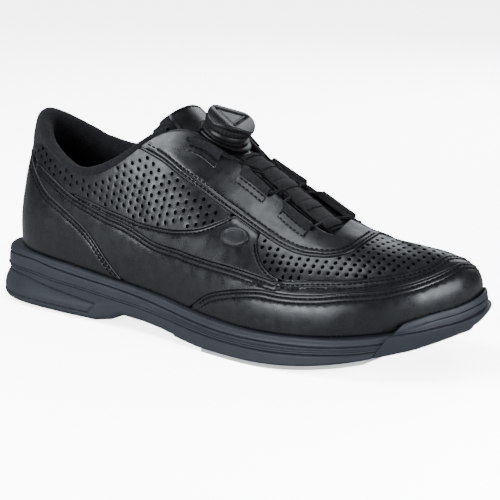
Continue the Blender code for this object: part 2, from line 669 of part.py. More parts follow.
def build_emblem(shoe, paints):
    """A plain raised oval on the outer side."""
    s, v = 4.47, 0.44
    normal = last_normal(s, v)
    centre = on_last(s, v)
    length = on_last(s - 0.1, v) - on_last(s + 0.1, v)
    length /= np.linalg.norm(length)
    rise = np.cross(normal, length)
    rise *= 1 if rise[2] > 0 else -1
    rings = []
    for inset, h in ((0.0, 0.1), (0.0, 0.7), (0.6, 1.1)):
        ring = []
        for k in range(24):
            a = 2 * math.pi * k / 24
            ring.append(tuple(centre + length * math.cos(a) * (7 - inset)
                              + rise * math.sin(a) * (5.4 - inset) + normal * h))
        rings.append(ring)
    loft("side_emblem", rings, paints["emblem"], shoe)


# ---------------------------------------------------------------- tongue
def tongue_frame(k):
    x, z, half, crown, pad = TONGUE[k]
    before = TONGUE[max(k - 1, 0)]
    after = TONGUE[min(k + 1, len(TONGUE) - 1)]
    step = np.array([after[0] - before[0], after[1] - before[1]], float)
    step /= np.linalg.norm(step)
    normal = np.array([step[1], -step[0]])
    return np.array([x, z], float), normal, half, crown, pad


def tongue_row(k, lift, width=None, count=6, share=1.0):
    middle, normal, half, crown, _ = tongue_frame(k)
    reach = half if width is None else width
    row = []
    for j in range(count + 1):
        y = (2 * j / count - 1) * reach * share
        p = middle + normal * (lift - crown * (y / half) ** 2)
        row.append((p[0], y, p[1]))
    return row


def build_tongue(shoe, paints):
    hinge = bpy.data.objects.new("tongue_hinge", None)
    hinge.location = metres(TONGUE_HINGE)
    shoe.objects.link(hinge)
    rings = []
    for k in range(len(TONGUE)):
        _, _, half, _, pad = tongue_frame(k)
        top = tongue_row(k, -1.9)
        low = tongue_row(k, -1.9 - pad, share=0.94)
        rings.append(top + list(reversed(low)))
    pad = loft("tongue_pad", rings, paints["lining"], shoe)
    rows = [tongue_row(k, 0.0, share=0.97) for k in range(0, 10)]
    cover = sheet("tongue_cover", [rows], UPPER_THICKNESS, paints["leather"], shoe, outward=(0.4, 0, 1))
    rows = [tongue_row(k, 0.3 + WEBBING, width=STRAP_WIDTH / 2, count=4) for k in range(0, 5)]
    strap = sheet("centre_strap", [rows], WEBBING, paints["webbing"], shoe, outward=(0.4, 0, 1))
    for obj in (pad, cover, strap):
        obj.parent = hinge
        obj.matrix_parent_inverse = Matrix.Translation(-Vector(hinge.location))
    return hinge


# ---------------------------------------------------------------- closure
def eye_frame(s, v):
    base = on_last(s, v)
    up = on_last(s, v + 0.01) - on_last(s, v - 0.01)
    span = np.linalg.norm(up) / 0.02
    up /= np.linalg.norm(up)
    return base, up, last_normal(s, v), span


LOOPS = [
    ("1", 5.32, 5.88, 0.68, 0.76, 0.815, 0.865),
    ("2", 4.30, 4.85, 0.69, 0.68, 0.79, 0.80),
    ("3", 3.32, 3.92, 0.665, 0.69, 0.79, 0.795),
]
EYE_REACH = 1.9
EYE_HEIGHT = 2.5


def build_loops(shoe, paints):
    """Webbing loops: a tail on the apron and an open eye for the lace at the throat."""
    for row, s_low, s_high, tail_low, tail_high, edge_low, edge_high in LOOPS:
        for side, mirror in (("outer", False), ("inner", True)):
            rings = []
            for k in range(4):
                share = k / 3
                s = s_low + (s_high - s_low) * share
                station = 20 - s if mirror else s
                v_tail = tail_low + (tail_high - tail_low) * share
                v_edge = edge_low + (edge_high - edge_low) * share
                base, up, normal, span = eye_frame(station, v_edge)
                ring = []
                low = OVERLAY_LIFT + 0.6
                for v in (v_tail, v_tail * 0.67 + v_edge * 0.33, v_tail * 0.33 + v_edge * 0.67):
                    ring.append(on_last(station, v) + last_normal(station, v) * (low + WEBBING))
                outer = EYE_RADIUS + WEBBING * 0.8
                for a in (115, 75, 35, -5, -45, -85, -120, -150):
                    c = math.radians(a)
                    ring.append(base + up * (EYE_REACH + outer * math.cos(c))
                                + normal * (EYE_HEIGHT + outer * math.sin(c)))
                for a in (-150, -120, -85, -45, -5, 35, 75, 125):
                    c = math.radians(a)
                    ring.append(base + up * (EYE_REACH + EYE_RADIUS * math.cos(c))
                                + normal * (EYE_HEIGHT + EYE_RADIUS * math.sin(c)))
                for v in (v_tail * 0.33 + v_edge * 0.67, v_tail * 0.67 + v_edge * 0.33, v_tail):
                    ring.append(on_last(station, v) + last_normal(station, v) * low)
                rings.append([tuple(p) for p in ring])
            loft("lace_loop_%s_%s" % (side, row), rings, paints["webbing"], shoe)


def dial_point(along_x, across, up):
    c = math.cos(DIAL_TILT)
    d = math.sin(DIAL_TILT)
    x, y, z = DIAL_CENTRE
    return (x + along_x * c + up * d, y + across, z - along_x * d + up * c)


def lace_points(mirror):
    """Centre line of the lace on one side, from the dial to the front of the throat."""
    side = 1 if mirror else -1
    path = [dial_point(-2.0, side * 12.6, 3.4), dial_point(-5.5, side * 13.6, 2.6),
            dial_point(-9.0, side * 16.2, 0.2)]
    for row, s_low, s_high, _, _, edge_low, edge_high in LOOPS:
        for share in (1.12, 0.75, 0.25, -0.12):
            s = s_low + (s_high - s_low) * share
            v = edge_low + (edge_high - edge_low) * share
            base, up, normal, _ = eye_frame(20 - s if mirror else s, v)
            path.append(tuple(base + up * EYE_REACH + normal * EYE_HEIGHT))
        if row != "3":
            s = s_low - 0.24
            x = (along(LAST[3], s))[0]
            z = float(np.interp(x, [p[0] for p in reversed(TONGUE)], [p[1] for p in reversed(TONGUE)]))
            path.append((x + 2.0, side * 8.6, z + 3.6))
            path.append((x - 2.0, side * 8.6, z + 2.8))
    path.append((219.6, side * 9.6, 71.0))
    path.append((221.0, side * 5.0, 69.4))
    return path


def build_lace(shoe, paints):
    outer = lace_points(False)
    inner = lace_points(True)
    path = outer + [(221.6, 0.0, 69.0)] + list(reversed(inner))
    data = bpy.data.curves.new("lace", "CURVE")
    data.dimensions = "3D"
    spline = data.splines.new("POLY")
    spline.points.add(len(path) - 1)
    for k, p in enumerate(path):
        spline.points[k].co = (*metres(p), 1)
    data.bevel_depth = LACE_RADIUS * MM
    data.bevel_resolution = 2
    data.use_fill_caps = True
    data.materials.append(paints["lace"])
    obj = bpy.data.objects.new("lace", data)
    shoe.objects.link(obj)


def turned(name, profile, paint, shoe, home):
    """A turned solid on the dial's axis: the profile runs down its outer side, as (radius, height)."""
    points = [(radius * MM, 0, height * MM) for radius, height in profile]
    edges = [(k, k + 1) for k in range(len(points) - 1)]
    if profile[0][0] > 0:
        edges.append((len(points) - 1, 0))
    mesh = bpy.data.meshes.new(name)
    mesh.from_pydata(points, edges, [])
    obj = new_object(name, mesh, paint, shoe)
    obj.parent = home
    screw = obj.modifiers.new("Turn", "SCREW")
    screw.steps = 32
    screw.render_steps = 32
    screw.use_merge_vertices = True
    screw.merge_threshold = 0.00001


def oval_plate(name, halves, low, high, paint, shoe, home):
    mesh = bpy.data.meshes.new(name)
    bm = bmesh.new()
    bmesh.ops.create_cone(bm, cap_ends=True, segments=28, radius1=1, radius2=1, depth=(high - low) * MM)
    bmesh.ops.scale(bm, verts=bm.verts, vec=(halves[0] * MM, halves[1] * MM, 1))
    bmesh.ops.translate(bm, verts=bm.verts, vec=(0, 0, (low + high) / 2 * MM))
    bm.to_mesh(mesh)
    bm.free()
    new_object(name, mesh, paint, shoe).parent = home


def lobed_ring(name, section, lobe, paint, shoe, home, count=48):
    """A ring whose outer section points swell into three finger lobes: section of radius, height, swells."""
    points = []
    faces = []
    wide = len(section)
    for k in range(count):
        a = 2 * math.pi * k / count
        for n, (radius, height, swells) in enumerate(section):
            r = radius + (max(lobe * math.cos(3 * a), 12.8 - radius) if swells else 0)
            points.append((r * math.cos(a) * MM, r * math.sin(a) * MM, height * MM))
            m = (n + 1) % wide
            after = (k + 1) % count
            faces.append((k * wide + n, after * wide + n, after * wide + m, k * wide + m))
    mesh = bpy.data.meshes.new(name)
    mesh.from_pydata(points, [], faces)
    bm = bmesh.new()
    bm.from_mesh(mesh)
    bmesh.ops.recalc_face_normals(bm, faces=bm.faces)
    bm.to_mesh(mesh)
    bm.free()
    new_object(name, mesh, paint, shoe).parent = home


def build_dial(shoe, paints, hinge):
    home = bpy.data.objects.new("dial_axis", None)
    home.location = metres(DIAL_CENTRE)
    home.rotation_euler = (0, DIAL_TILT, 0)
    shoe.objects.link(home)
    home.parent = hinge
    home.matrix_parent_inverse = Matrix.Translation(-Vector(hinge.location))
    plastic = paints["plastic"]
    rim = HOUSING_RADIUS
    spool = SPOOL_RADIUS

    oval_plate("dial_flange", FLANGE_HALVES, 0.4, 1.3, plastic, shoe, home)
    turned("dial_housing", [(BORE, 2.4), (rim - 1.2, 2.4), (rim - 1.2, 5.2), (rim, 5.2), (rim, 1.6), (BORE, 1.6)],
           plastic, shoe, home)
    turned("lace_spool", [(BORE, 5.0), (spool, 5.0), (spool, 4.6), (7.4, 4.4), (7.4, 3.4), (spool, 3.2),
                          (spool, 2.8), (BORE, 2.8)], plastic, shoe, home)
    turned("dial_post", [(0, 9.7), (POST_RADIUS, 9.7), (POST_RADIUS, 2.0), (0, 2.0)], paints["steel"], shoe, home)
    turned("ratchet_disc", [(BORE, 7.8), (8.6, 7.8), (9.9, 6.6), (9.9, 5.4), (BORE, 5.4)], plastic, shoe, home)
    turned("knob_core", [(BORE, 9.4), (KNOB_RADIUS, 9.4), (KNOB_RADIUS, 5.7), (10.8, 5.7), (10.3, 8.1),
                         (BORE, 8.1)], plastic, shoe, home)
    section = [(12.8, 6.0, False), (13.4, 6.4, True), (13.6, 8.4, True), (12.9, 10.2, True), (10.2, 10.9, False),
               (9.9, 9.8, False), (12.8, 9.7, False)]
    lobed_ring("knob_grip", section, 0.45, paints["grip"], shoe, home)
    turned("knob_cap", [(0, 12.0), (8.6, 11.6), (9.5, 10.8), (9.5, 10.0), (0, 10.0)], plastic, shoe, home)


def main():
    clear_scene()
    shoe = collection("bowling_shoe")
    cutters = collection("cutters", hidden=True)
    paints = {
        "rubber": material("sole rubber", (0.045, 0.05, 0.06), 0.6),
        "tread": material("heel tread rubber", (0.03, 0.03, 0.035), 0.75),
        "slide": material("slide sole microfibre", (0.82, 0.82, 0.80), 0.85),
        "leather": material("smooth leather", (0.022, 0.022, 0.024), 0.42),
        "perforated": material("perforated leather", (0.026, 0.026, 0.028), 0.46),
        "lining": material("lining fabric", (0.018, 0.018, 0.02), 0.95),
        "foam": material("collar foam", (0.25, 0.25, 0.25), 1.0),
        "board": material("fibre board", (0.3, 0.26, 0.2), 0.9),
        "footbed": material("footbed foam", (0.03, 0.03, 0.035), 0.9),
        "steel": material("spring steel", (0.55, 0.56, 0.58), 0.35, 1.0),
        "webbing": material("webbing", (0.015, 0.015, 0.016), 0.85),
        "lace": material("lace", (0.01, 0.01, 0.01), 0.5),
        "plastic": material("dial plastic", (0.02, 0.02, 0.022), 0.38),
        "grip": material("dial grip rubber", (0.028, 0.028, 0.03), 0.6),
        "emblem": material("emblem", (0.09, 0.09, 0.095), 0.4),
        "helper": material("cutter", (0.8, 0.2, 0.2), 0.5),
    }
    build_sole(shoe, cutters, paints)
    build_upper(shoe, paints)
    build_linings(shoe, paints)
    build_emblem(shoe, paints)
    hinge = build_tongue(shoe, paints)
    build_loops(shoe, paints)
    build_lace(shoe, paints)
    build_dial(shoe, paints, hinge)


main()
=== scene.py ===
# Looks of the bowling shoe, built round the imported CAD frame. Lengths are millimetres from the heel back
# until metres() turns them into the frame's metres.
import math

import bmesh
import bpy
import numpy as np
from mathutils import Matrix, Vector, geometry, noise


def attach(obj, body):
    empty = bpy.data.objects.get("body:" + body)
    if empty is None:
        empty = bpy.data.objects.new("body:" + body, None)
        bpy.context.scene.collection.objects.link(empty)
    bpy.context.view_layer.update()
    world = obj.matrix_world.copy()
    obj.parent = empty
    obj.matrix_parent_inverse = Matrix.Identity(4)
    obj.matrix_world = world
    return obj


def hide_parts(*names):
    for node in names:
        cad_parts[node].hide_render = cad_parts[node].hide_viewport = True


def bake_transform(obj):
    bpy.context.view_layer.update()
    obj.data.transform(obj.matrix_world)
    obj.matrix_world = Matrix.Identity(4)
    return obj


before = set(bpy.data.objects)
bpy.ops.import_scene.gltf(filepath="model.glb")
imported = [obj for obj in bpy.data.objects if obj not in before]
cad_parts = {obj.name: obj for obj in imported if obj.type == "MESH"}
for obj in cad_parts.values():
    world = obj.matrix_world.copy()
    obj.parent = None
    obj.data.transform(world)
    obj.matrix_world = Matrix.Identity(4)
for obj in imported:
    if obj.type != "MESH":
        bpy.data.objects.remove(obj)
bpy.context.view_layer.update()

MM = 0.001
BACK_TO_HEEL_CENTRE = 36.0
THROAT_END = 2.85
THREAD_PITCH = 2.7
THREAD_RADIUS = 0.33
HOLE_RADIUS = 1.0
HOLE_PITCH_ALONG = 4.9
HOLE_PITCH_UP = 4.6
HOLE_MARGIN = 1.7
HOLE_POINTS = 12
STRAP_HALF = 7.8
LACE_RADIUS = 0.65
DIAL_CENTRE = (150.4, 0.0, 102.7)
DIAL_TILT = math.radians(25.0)

# The last's surface: station rows from the toe tip by the outer side to the heel (row 10) and back.
# foot x y z, top x y z, rise, bulge, run, drop, heading of the top handle in degrees.
ROWS = [
    ((296, 9, 31), (262, 4, 61.3), 0.62, 7.3, 0.86, 0.08, 0),
    ((287, -14, 27), (257, 3.5, 61.0), 0.60, 6.6, 0.86, 0.06, -30),
    ((266, -34, 22), (246, 2.5, 63.3), 0.56, 5, 0.80, 0.07, -62),
    ((235, -46, 19), (226, 1, 69.7), 0.50, 4, 0.70, 0.10, -84),
    ((200, -46.5, 17.5), (200, 0, 84.0), 0.46, 4, 0.56, 0.13, -92),
    ((165, -41, 19), (170, 0, 102.5), 0.46, 4, 0.50, 0.13, -95),
    ((130, -35, 23), (141, -19, 113.0), 0.44, 4, 0.30, 0.26, -93),
    ((95, -31.5, 26), (104, -29, 93.0), 0.40, 4, 0.10, 0.36, -90),
    ((60, -28.5, 29), (68, -27.5, 83.0), 0.38, 3, 0.10, 0.36, -95),
    ((29, -23, 31.6), (37, -18, 96.0), 0.36, 3, 0.10, 0.24, -130),
    ((13, 0, 32.6), (23, 0, 105.2), 0.36, 2, 0.10, 0.20, -180),
    ((29, 23, 31.6), (37, 18, 96.5), 0.36, 3, 0.10, 0.24, -230),
    ((60, 28, 29), (68, 27, 85.2), 0.38, 3, 0.10, 0.36, -265),
    ((95, 27, 26), (104, 28, 94.6), 0.40, 6, 0.10, 0.36, -270),
    ((130, 28, 23), (141, 19, 113.0), 0.44, 6, 0.30, 0.26, -267),
    ((165, 34, 20), (170, 0, 102.5), 0.46, 5, 0.50, 0.13, -265),
    ((200, 43, 18.5), (200, 0, 84.0), 0.46, 4, 0.57, 0.12, -268),
    ((235, 46, 19.5), (226, 1, 69.7), 0.50, 2.8, 0.51, 0.18, -276),
    ((268, 40, 23), (246, 2.5, 63.3), 0.54, 3.8, 0.54, 0.17, -298),
    ((289, 27, 27), (257, 3.5, 61.0), 0.60, 6.3, 0.89, 0.12, -330),
]
# Seam heights on that surface: station, share of the way from the sole (0) to the ridge (1).
COUNTER_EDGE = [(6.68, 0.0), (7, 0.125), (7.4, 0.335), (7.7, 0.45), (8.1, 0.545), (8.5, 0.58),
                (8.84, 0.625), (9.12, 0.65), (9.42, 0.67)]
SIDE_SEAM = [(0, 0.655), (0.6, 0.575), (1.02, 0.52), (1.5, 0.475), (1.9, 0.44), (2.4, 0.405), (2.9, 0.37),
             (3.4, 0.32), (3.8, 0.315), (4.34, 0.29), (4.86, 0.255), (5.45, 0.235), (6.1, 0.25),
             (6.97, 0.455), (7.57, 0.63), (7.96, 0.70), (8.44, 0.74), (9.12, 0.70), (9.42, 0.68)]
QUARTER_LOW = [(4.6, 0.54), (4.82, 0.46), (5.1, 0.385), (5.45, 0.335), (5.8, 0.315), (6.1, 0.325),
               (6.46, 0.37), (7, 0.515), (7.52, 0.665), (7.96, 0.73)]
APRON_EDGE = [(2.0, 1.0), (2.13, 0.915), (2.3, 0.79), (2.45, 0.695), (2.58, 0.65), (2.77, 0.605), (3, 0.58),
              (3.2, 0.56), (3.5, 0.55), (4, 0.548), (4.5, 0.54), (4.8, 0.535), (5.2, 0.545), (5.72, 0.595),
              (6, 0.66), (6.3, 0.77), (6.55, 0.88), (6.66, 0.935), (6.74, 0.965)]
VAMP_LOW = [(0, 0.70), (0.36, 0.675), (0.9, 0.59), (1.34, 0.535), (1.9, 0.475), (2.4, 0.43), (2.9, 0.395),
            (3.4, 0.345), (3.6, 0.352), (3.77, 0.375), (3.92, 0.415), (4.02, 0.46), (4.09, 0.515)]
MUDGUARD_TOP = [(0, 0.555), (0.3, 0.53), (0.9, 0.46), (1.38, 0.40), (1.9, 0.35), (2.4, 0.325), (2.86, 0.285),
                (3.38, 0.255), (3.77, 0.24), (4.09, 0.205), (4.48, 0.15), (4.82, 0.095), (5.04, 0.04),
                (5.17, 0.01)]
COLLAR_LINE = [(6.4, 0.985), (6.58, 0.98), (6.75, 0.957), (6.93, 0.942), (7.2, 0.929), (7.5, 0.915),
               (7.8, 0.92), (8.04, 0.935), (8.3, 0.95), (8.6, 0.955), (8.85, 0.92), (9.1, 0.82),
               (9.35, 0.72), (10, 0.70)]
THROAT_EDGE = [(2.85, 0.80), (3, 0.79), (3.5, 0.80), (4, 0.80), (4.5, 0.79), (5, 0.80), (5.5, 0.84),
               (5.8, 0.895), (6, 0.93), (6.3, 0.965), (6.5, 0.972), (6.74, 0.966)]
# Sole outline in plan from the heel back by the outer side to the toe tip (point 12) and back.
OUTLINE = [(0, 0), (6, -17), (24, -30), (50, -34.3), (80, -35.6), (110, -37.5), (145, -42.6), (180, -49.2),
           (212, -52.5), (245, -49), (271, -37.5), (291, -17.5), (302, 10), (296, 28), (279, 42.5),
           (254, 49.8), (226, 50.8), (195, 46.5), (160, 38), (125, 31.3), (92, 30), (60, 32.5), (30, 31),
           (6, 18)]


# ---------------------------------------------------------------- last surface
def metres(points):
    return (np.asarray(points, float) - [BACK_TO_HEEL_CENTRE, 0, 0]) * MM


def table(rows, x, smooth=True):
    """The height of a seam or a line at x: a monotone cubic through the rows, or straight pieces."""
    rows = np.asarray(rows, float)
    xs, ys = rows[:, 0], rows[:, 1]
    x = np.asarray(x, float)
    if not smooth or len(xs) < 3:
        return np.interp(x, xs, ys)
    slope = np.diff(ys) / np.diff(xs)
    tangent = np.empty(len(xs))
    tangent[1:-1] = (slope[1:] + slope[:-1]) / 2
    tangent[1:-1][slope[1:] * slope[:-1] <= 0] = 0
    tangent[0], tangent[-1] = slope[0], slope[-1]
    k = np.clip(np.searchsorted(xs, x) - 1, 0, len(xs) - 2)
    width = xs[k + 1] - xs[k]
    t = np.clip((x - xs[k]) / width, 0, 1)
    a = (1 + 2 * t) * (1 - t) ** 2 * ys[k] + t * (1 - t) ** 2 * width * tangent[k]
    b = t * t * (3 - 2 * t) * ys[k + 1] + t * t * (t - 1) * width * tangent[k + 1]
    return a + b


def curve(rows):
    """A seam as a function of the station, the same on both sides of the shoe."""
    def height(s):
        s = np.asarray(s, float) % 20
        return table(rows, np.where(s > 10, 20 - s, s))
    return height


def periodic(values):
    values = np.asarray(values, float)
    n = len(values)
    system = 4 * np.eye(n) + np.roll(np.eye(n), 1, 1) + np.roll(np.eye(n), -1, 1)
    bend = np.linalg.solve(system, 6 * (np.roll(values, -1, 0) - 2 * values + np.roll(values, 1, 0)))
    return values, bend


def along(spline, s):
    """Points of a closed cubic spline at the stations s."""
    values, bend = spline
    n = len(values)
    s = np.asarray(s, float) % n
    i = np.floor(s).astype(int) % n
    j = (i + 1) % n
    t = (s - np.floor(s))[..., None]
    u = 1 - t
    return u * values[i] + t * values[j] + ((u ** 3 - u) * bend[i] + (t ** 3 - t) * bend[j]) / 6


def last_splines():
    foot = np.array([row[0] for row in ROWS], float)
    top = np.array([row[1] for row in ROWS], float)
    rise, bulge, run, drop, heading = (np.array([row[k] for row in ROWS], float) for k in range(2, 7))
    step = np.roll(foot, -1, 0) - np.roll(foot, 1, 0)
    out = np.c_[step[:, 1], -step[:, 0]]
    out /= np.linalg.norm(out, axis=1)[:, None]
    if ((foot[:, :2] - foot[:, :2].mean(0)) * out).sum() < 0:
        out = -out
    height = top[:, 2] - foot[:, 2]
    width = np.linalg.norm((foot - top)[:, :2], axis=1)
    low = foot + np.c_[out * bulge[:, None], rise * height]
    angle = np.radians(heading)
    high = top + np.c_[np.cos(angle) * width * run, np.sin(angle) * width * run, -drop * height]
    return [periodic(points) for points in (foot, low, high, top)]


LAST = last_splines()
EDGE = periodic(OUTLINE)


def on_last(s, v):
    a, b, c, d = (along(spline, s) for spline in LAST)
    v = np.asarray(v, float)[..., None]
    u = 1 - v
    return u ** 3 * a + 3 * u * u * v * b + 3 * u * v * v * c + v ** 3 * d


def last_normal(s, v):
    s = np.asarray(s, float)
    v = np.clip(np.asarray(v, float), 0.01, 0.985)
    side = on_last(s + 0.01, v) - on_last(s - 0.01, v)
    up = on_last(s, v + 0.01) - on_last(s, v - 0.01)
    normal = np.cross(up, side)
    return normal / np.linalg.norm(normal, axis=-1)[..., None]


def skin(s, v, lift):
    """Points of the upper, lifted off the last. In front of the throat the two sides meet in one ridge."""
    s, v = np.broadcast_arrays(np.asarray(s, float), np.asarray(v, float))
    v = np.minimum(v, 1.0)
    front = np.minimum(s % 20, 20 - s % 20) < THROAT_END + 0.4
    near = (np.clip((v - 0.9) / 0.1, 0, 1) ** 2 * front)[..., None]
    normal = last_normal(s, v) + near * last_normal(20 - s, v)
    normal /= np.linalg.norm(normal, axis=-1)[..., None]
    gap = near * (along(LAST[3], 20 - s) - along(LAST[3], s)) / 2
    return on_last(s, v) + gap + normal * np.asarray(lift, float)[..., None]


def solve_steps(s, v, wanted):
    """The change of station and v that moves each point of the last by the wanted vectors."""
    side = (on_last(s + 0.005, v) - on_last(s - 0.005, v)) / 0.01
    up = (on_last(s, v + 0.005) - on_last(s, v - 0.005)) / 0.01
    a, b, c = (side * side).sum(-1), (side * up).sum(-1), (up * up).sum(-1)
    p, q = (side * wanted).sum(-1), (up * wanted).sum(-1)
    det = a * c - b * b
    return (c * p - b * q) / det, (a * q - b * p) / det


def offset_line(line, distance):
    """A seam line moved sideways on the last: to its right, seen from outside, when distance is positive."""
    s, v = np.array(line, float).T
    points = on_last(s, v)
    tangent = np.gradient(points, axis=0)
    tangent /= np.linalg.norm(tangent, axis=1)[:, None]
    sideways = np.cross(tangent, last_normal(s, v))
    ds, dv = solve_steps(s, v, sideways * distance)
    return np.c_[s + ds, v + dv]


# ---------------------------------------------------------------- flat patterns of the panels
STATION_GRID = np.linspace(-10.5, 15.5, 521)
GIRTH_LINE = on_last(STATION_GRID, 0 * STATION_GRID + 0.45)
LENGTH_GRID = np.r_[0, np.cumsum(np.linalg.norm(np.diff(GIRTH_LINE, axis=0), axis=1))]
LENGTH_GRID -= np.interp(0, STATION_GRID, LENGTH_GRID)
SPAN_SHARES = np.linspace(0, 1, 41)


def side_chart(s, v):
    """A flat pattern of a side: length round the shoe, and height up the last's skin."""
    s, v = np.broadcast_arrays(np.asarray(s, float), np.asarray(v, float))
    steps = on_last(s[..., None], SPAN_SHARES * np.ones(s.shape + (1,)))
    rise = np.linalg.norm(np.diff(steps, axis=-2), axis=-1).cumsum(-1)
    rise = np.concatenate([np.zeros(s.shape + (1,)), rise], -1)
    at = np.clip(v, 0, 0.9999) * 40
    k = at.astype(int)
    low = np.take_along_axis(rise, k[..., None], -1)[..., 0]
    high = np.take_along_axis(rise, k[..., None] + 1, -1)[..., 0]
    return np.stack([np.interp(s, STATION_GRID, LENGTH_GRID), low + (high - low) * (at - k)], -1)


def crown_chart(s, v):
    """A flat pattern of the front, seen from above, with its steep sides folded outwards."""
    s = np.asarray(s, float)
    points = on_last(s, v)
    out = on_last(s, 0.25 + 0 * s) - on_last(s, 1.0 + 0 * s)
    out = out[..., :2] / np.linalg.norm(out[..., :2], axis=-1)[..., None]
    drop = along(LAST[3], s)[..., 2] - points[..., 2]
    return points[..., :2] + 0.8 * drop[..., None] * out


def invert(chart, wanted, span_s, span_v):
    """Station and v of points given on a flat pattern."""
    s, v = np.meshgrid(np.linspace(*span_s, 140), np.linspace(*span_v, 50), indexing="ij")
    s, v = s.ravel(), v.ravel()
    samples = chart(s, v)
    nearest = np.concatenate([((part[:, None] - samples) ** 2).sum(-1).argmin(1)
                              for part in np.array_split(wanted, max(1, len(wanted) // 400))])
    s, v = s[nearest], v[nearest]
    for _ in range(5):
        here = chart(s, v)
        ds = (chart(s + 0.002, v) - here) / 0.002
        nudge = np.where(v < 0.5, 0.002, -0.002)
        dv = (chart(s, v + nudge) - here) / nudge[:, None]
        det = ds[:, 0] * dv[:, 1] - ds[:, 1] * dv[:, 0]
        det = np.where(np.abs(det) < 1e-6, 1e-6, det)
        miss = wanted - here
        s = s + np.clip((miss[:, 0] * dv[:, 1] - miss[:, 1] * dv[:, 0]) / det, -0.1, 0.1)
        v = np.clip(v + np.clip((ds[:, 0] * miss[:, 1] - ds[:, 1] * miss[:, 0]) / det, -0.05, 0.05), 0.0, 1.0)
    return s, v


def inside(points, loop):
    """Which points lie inside a closed loop."""
    found = np.zeros(len(points), bool)
    ends = np.roll(loop, -1, 0)
    for (ax, ay), (bx, by) in zip(loop, ends):
        if ay == by:
            continue
        crosses = (ay > points[:, 1]) != (by > points[:, 1])
        found ^= crosses & (points[:, 0] < ax + (points[:, 1] - ay) * (bx - ax) / (by - ay))
    return found


def edge_distance(points, loop, chosen=None):
    """Distance of each point to a closed loop, or to the chosen pieces of it."""
    start, step = loop, np.roll(loop, -1, 0) - loop
    if chosen is not None:
        start, step = start[chosen], step[chosen]
    length = np.maximum((step ** 2).sum(1), 1e-9)
    best = np.empty(len(points))
    for part in np.array_split(np.arange(len(points)), max(1, len(points) // 1500)):
        offset = points[part][:, None] - start
        t = np.clip((offset * step).sum(-1) / length, 0, 1)
        best[part] = np.sqrt(((offset - t[..., None] * step) ** 2).sum(-1).min(1))
    return best


def ring_inside(loop, distance):
    """Points of a closed loop moved inwards, without those that a corner or a narrow tip pushes out again."""
    tangent = np.roll(loop, -1, 0) - np.roll(loop, 1, 0)
    tangent /= np.maximum(np.linalg.norm(tangent, axis=1), 1e-9)[:, None]
    area = (loop[:, 0] * np.roll(loop[:, 1], -1) - np.roll(loop[:, 0], -1) * loop[:, 1]).sum()
    normal = np.c_[-tangent[:, 1], tangent[:, 0]] * (1 if area > 0 else -1)
    moved = loop + normal * distance
    moved = moved[inside(moved, loop) & (edge_distance(moved, loop) > distance * 0.93)]
    return moved[np.linalg.norm(moved - np.roll(moved, 1, 0), axis=1) > 0.6]


def lattice(loop, spacing_along, spacing_up, margin):
    """A staggered grid inside a closed loop."""
    low, high = loop.min(0), loop.max(0)
    found = []
    for i in range(int((high[0] - low[0]) / spacing_along) + 2):
        ups = np.arange(low[1] + (i % 2) * spacing_up / 2, high[1], spacing_up)
        found.append(np.c_[np.full(len(ups), low[0] + i * spacing_along), ups])
    found = np.concatenate(found)
    found = found[inside(found, loop)]
    return found[edge_distance(found, loop) > margin]


def even(line, spacing):
    """A line of station and v, resampled at even steps on the surface."""
    line = np.array(line, float)
    points = on_last(line[:, 0], line[:, 1])
    length = np.r_[0, np.cumsum(np.linalg.norm(np.diff(points, axis=0), axis=1))]
    count = max(int(round(length[-1] / spacing)), 2)
    at = np.linspace(0, length[-1], count + 1)
    return np.c_[np.interp(at, length, line[:, 0]), np.interp(at, length, line[:, 1])]


def seam(height, start, end, steps=120):
    """A line at a height function between two stations."""
    s = np.linspace(start, end, steps)
    return np.c_[s, height(s)]


def mirrored(line):
    """The same line on the shoe's other side, run backwards."""
    return np.c_[20 - line[:, 0], line[:, 1]][::-1]


def wrinkles(points, size, height):
    """Soft unevenness of leather, in millimetres, at points in millimetres."""
    return height * np.array([noise.noise(Vector(p) / size) for p in points])


# ---------------------------------------------------------------- meshes
def finish_mesh(name, vertices, faces, paint, smooth_angle=50):
    mesh = bpy.data.meshes.new(name)
    mesh.from_pydata([tuple(p) for p in metres(vertices)], [], [tuple(map(int, face)) for face in faces])
    mesh.validate()
    bm = bmesh.new()
    bm.from_mesh(mesh)
    bmesh.ops.recalc_face_normals(bm, faces=bm.faces)
    bm.to_mesh(mesh)
    bm.free()
    mesh.shade_smooth()
    mesh.set_sharp_from_angle(angle=math.radians(smooth_angle))
    mesh.materials.append(paint)
    obj = bpy.data.objects.new(name, mesh)
    bpy.context.scene.collection.objects.link(obj)
    return obj


def open_edges(triangles):
    """The directed edges that only one triangle has."""
    edges = np.concatenate([triangles[:, [0, 1]], triangles[:, [1, 2]], triangles[:, [2, 0]]])
    keys = np.sort(edges, 1)
    _, index, count = np.unique(keys, axis=0, return_index=True, return_counts=True)
    return edges[index[count == 1]]


def edge_profile(distance, radius, grooves, seam_distance=None):
    """How far a panel's surface lies below its crown: a rounded edge, and a furrow under each stitch row."""
    t = np.clip(1 - distance / radius, 0, 1)
    drop = radius * 0.8 * (1 - np.sqrt(1 - t * t))
    if seam_distance is None:
        seam_distance = distance
    for at in grooves:
        drop = drop + 0.34 * np.exp(-((seam_distance - at) / 0.45) ** 2)
    return drop


